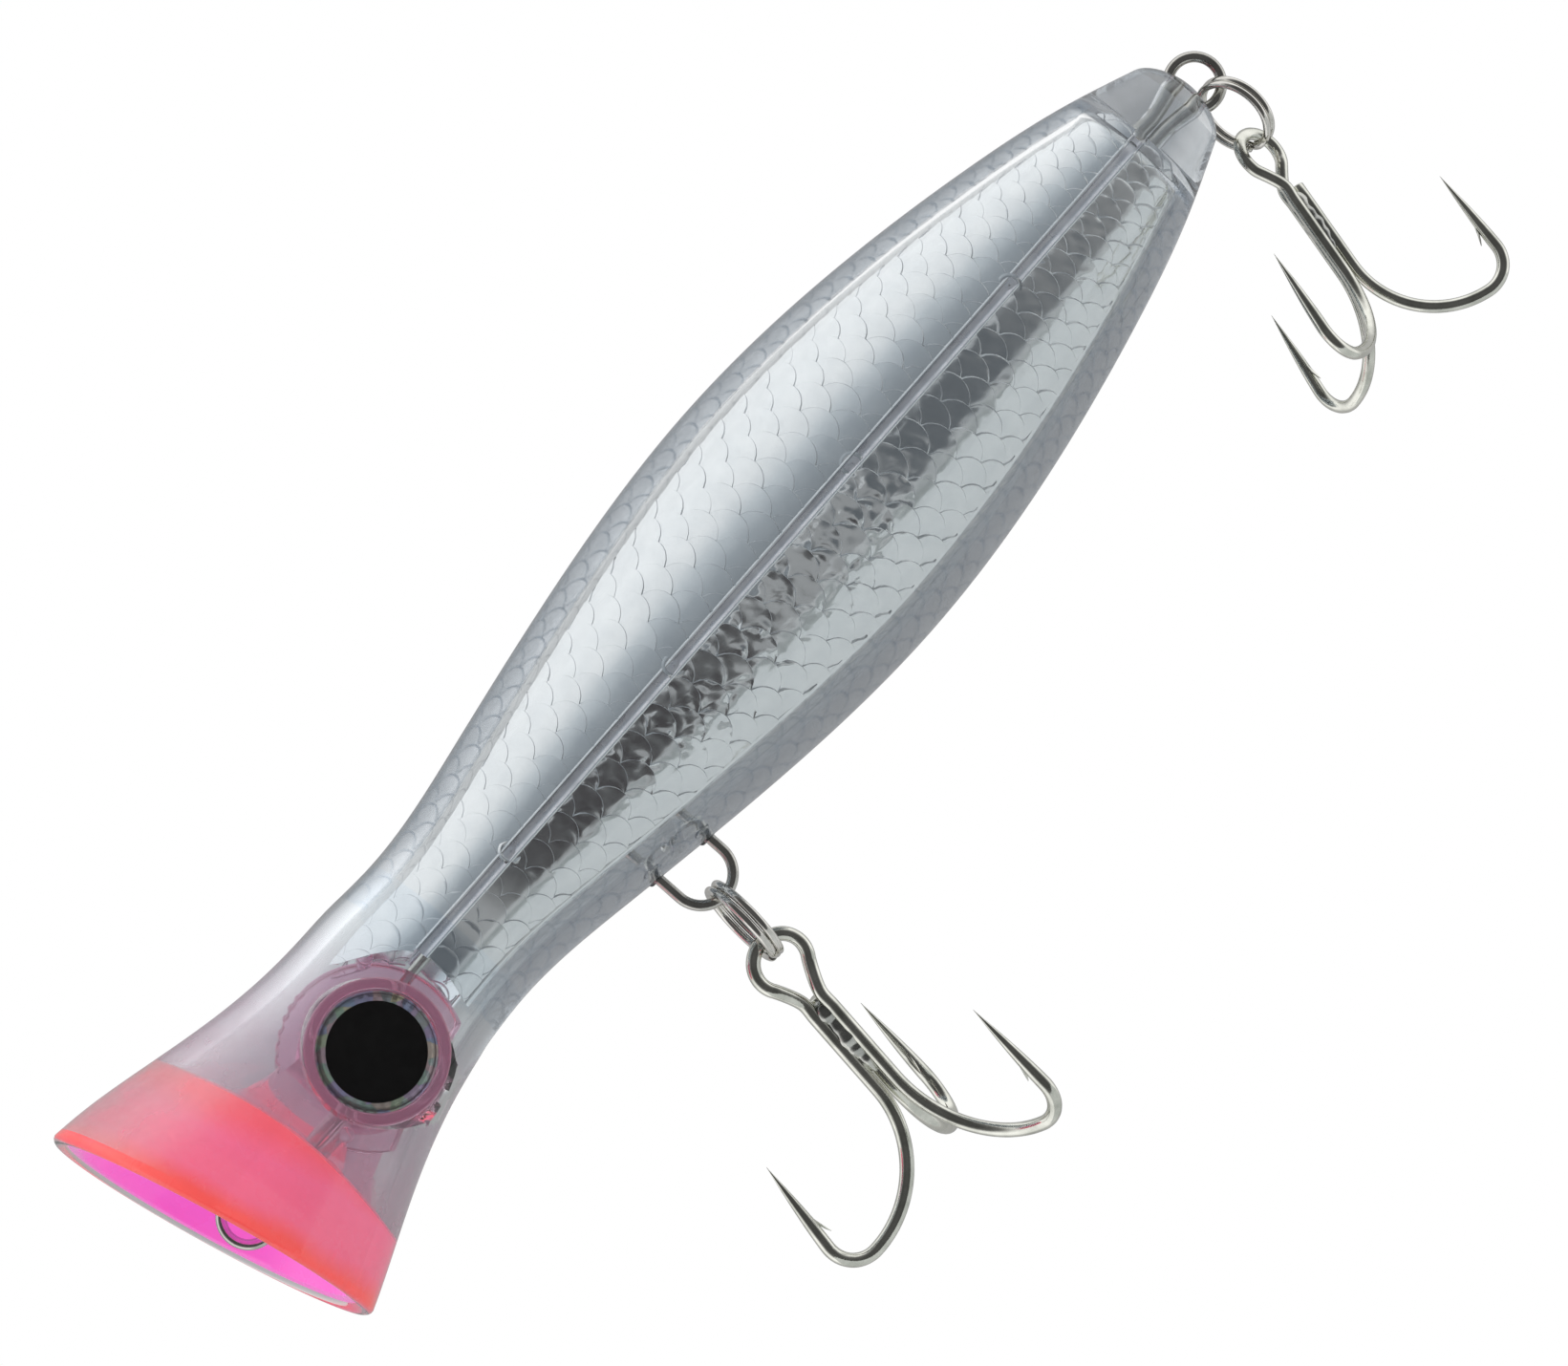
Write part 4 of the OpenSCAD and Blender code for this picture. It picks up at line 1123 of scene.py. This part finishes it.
def floor():
    """Pale paper with rounded corners and edges, well below the lure."""
    m, t, c = material("floor_paper")
    tone = ramp(t, noise(t, c, 60.0, 5.0), [(0.3, (0.68, 0.7, 0.7)), (0.7, (0.73, 0.75, 0.74))])
    grain = bump(t, noise(t, c, 900.0, 4.0), 5e-5, 0.4)
    finished(m, t, t.add("BsdfPrincipled", {"Roughness": 0.8, "Base Color": tone, "Normal": grain}))
    a = circle(120)
    squared = lambda v: np.sign(v) * np.abs(v) ** 0.35
    rings = []
    for q, z in ((-60, 0), (-1, 0), (0, -1), (0, -7), (-1, -8), (-60, -8)):
        rings.append(np.stack([62 + (250 + q) * squared(np.cos(a)), -20 + (140 + q) * squared(np.sin(a)),
                               0 * a + FLOOR_Z + z], -1))
    v, f = closed(rings)
    piece("floor", v, f, [m], body=None)


floor()


def world():
    """Studio that the lure reflects; the camera itself sees plain white behind the lure."""
    w = bpy.data.worlds.new("studio")
    bpy.context.scene.world = w
    w.use_nodes = True
    t = Nodes(w.node_tree)
    ray = t.add("TexCoord", {}, "Generated")
    x, y, z = t.add("SeparateXYZ", {0: ray}).node.outputs

    def half(v, slope=0.5):
        return math_node(t, "ADD", math_node(t, "MULTIPLY", v, slope), 0.5)

    def tones(fac, stops):
        """Ramp of greys, each with an optional tint."""
        return ramp(t, fac, [(at, tuple(v * k for k in (tint[0] if tint else (1, 1, 1))))
                             for at, v, *tint in stops])

    def by_height(stops):
        """The same with stops at elevations in degrees."""
        return tones(half(z), [(0.5 + 0.5 * math.sin(rad(stop[0])), *stop[1:]) for stop in stops])

    sea, cool, blue = (0.97, 1.01, 0.99), (0.92, 0.99, 1.06), (0.93, 1, 1.07)
    lit = by_height([(-90, 0.44), (-72, 0.5, sea), (-60, 0.46, sea), (-50, 0.3, (0.96, 1.01, 1.0)),
                     (-40, 1.0), (-2, 1.0), (1, 0.18, cool), (12, 0.28, cool), (28, 0.38, cool),
                     (42, 0.6, (0.95, 1, 1.04)), (60, 0.9), (90, 0.98)])
    # the dark ground in front changes along the lure: black at the head, a pale panel amidships
    ground = tones(half(x), [(0.34, 0.06, (1.05, 0.97, 1)), (0.41, 0.12), (0.45, 0.36), (0.53, 0.34),
                             (0.59, 0.13, blue), (0.68, 0.14, blue), (0.76, 0.24), (0.9, 0.36)])
    front = mix_colour(t, by_height([(-48, 0), (-41, 1), (-4, 1), (0, 0)]), lit, ground)
    rear = by_height([(-90, 0.4), (-60, 0.28, (0.97, 0.99, 1.02)), (-30, 0.33), (-5, 0.36),
                      (8, 0.44, (0.96, 1.0, 1.03)), (18, 0.7), (34, 0.88), (52, 1.08), (90, 0.98)])
    room = mix_colour(t, smooth_step(t, y, -0.25, 0.35), front, rear)
    # pale side panels put the bright edges on the wires
    edge = smooth_step(t, math_node(t, "ABSOLUTE", x, 0.0), 0.7, 0.95)
    panels = mix_colour(t, edge, room, (0.85, 0.85, 0.83, 1))
    # bare metal sees a dark studio behind the camera and pale walls to the sides
    bare = tones(half(y, -0.5), [(0.0, 0.4), (0.22, 0.5), (0.36, 1.0), (0.55, 1.1), (0.64, 0.75),
                                 (0.74, 0.16), (0.86, 0.07), (1.0, 0.09)])
    outside = math_node(t, "SUBTRACT", 1.0, light_path(t, "Is Transmission Ray"))
    direct = math_node(t, "MULTIPLY", light_path(t, "Is Glossy Ray"), outside)
    light = t.add("Background", {0: mix_colour(t, direct, panels, bare), "Strength": 1.0})
    seen = t.add("Background", {"Color": (1, 1, 1, 1), "Strength": 1.0})
    t.add("OutputWorld", {0: blend(t, light_path(t, "Is Camera Ray"), light, seen)})


world()


def softbox(at, target, size, power):
    data = bpy.data.lights.new("softbox", "AREA")
    data.shape = "RECTANGLE"
    data.size, data.size_y = size
    data.energy = power
    ob = add_object("softbox", data)
    ob.location = at
    ob.visible_glossy = False
    ob.visible_transmission = False
    ob.rotation_euler = (Vector(target) - Vector(at)).to_track_quat("-Z", "Y").to_euler()


softbox((0.05, -0.25, 0.5), (0.06, 0, 0), (0.5, 0.4), 0.35)


def camera():
    """Long lens at the photo's viewing angle, which frames the lure nose up to the left."""
    distance, width, azimuth, roll = 1.5, 0.1357, rad(7.6), rad(48.67)
    aim = Vector((0.06555, 0, -0.00423))
    fwd = Vector((math.sin(azimuth), math.cos(azimuth), 0))
    right0, up0 = Vector((math.cos(azimuth), -math.sin(azimuth), 0)), Vector((0, 0, 1))
    right = math.cos(roll) * right0 - math.sin(roll) * up0
    up = math.sin(roll) * right0 + math.cos(roll) * up0
    data = bpy.data.cameras.new("camera")
    data.sensor_width = 36
    data.lens = data.sensor_width * distance / width
    data.clip_start, data.clip_end = 0.05, 20
    ob = add_object("camera", data)
    m = Matrix((right, up, -fwd)).transposed().to_4x4()
    m.translation = aim - fwd * distance
    ob.matrix_world = m
    bpy.context.scene.camera = ob


camera()
bpy.context.scene.view_settings.view_transform = "Standard"
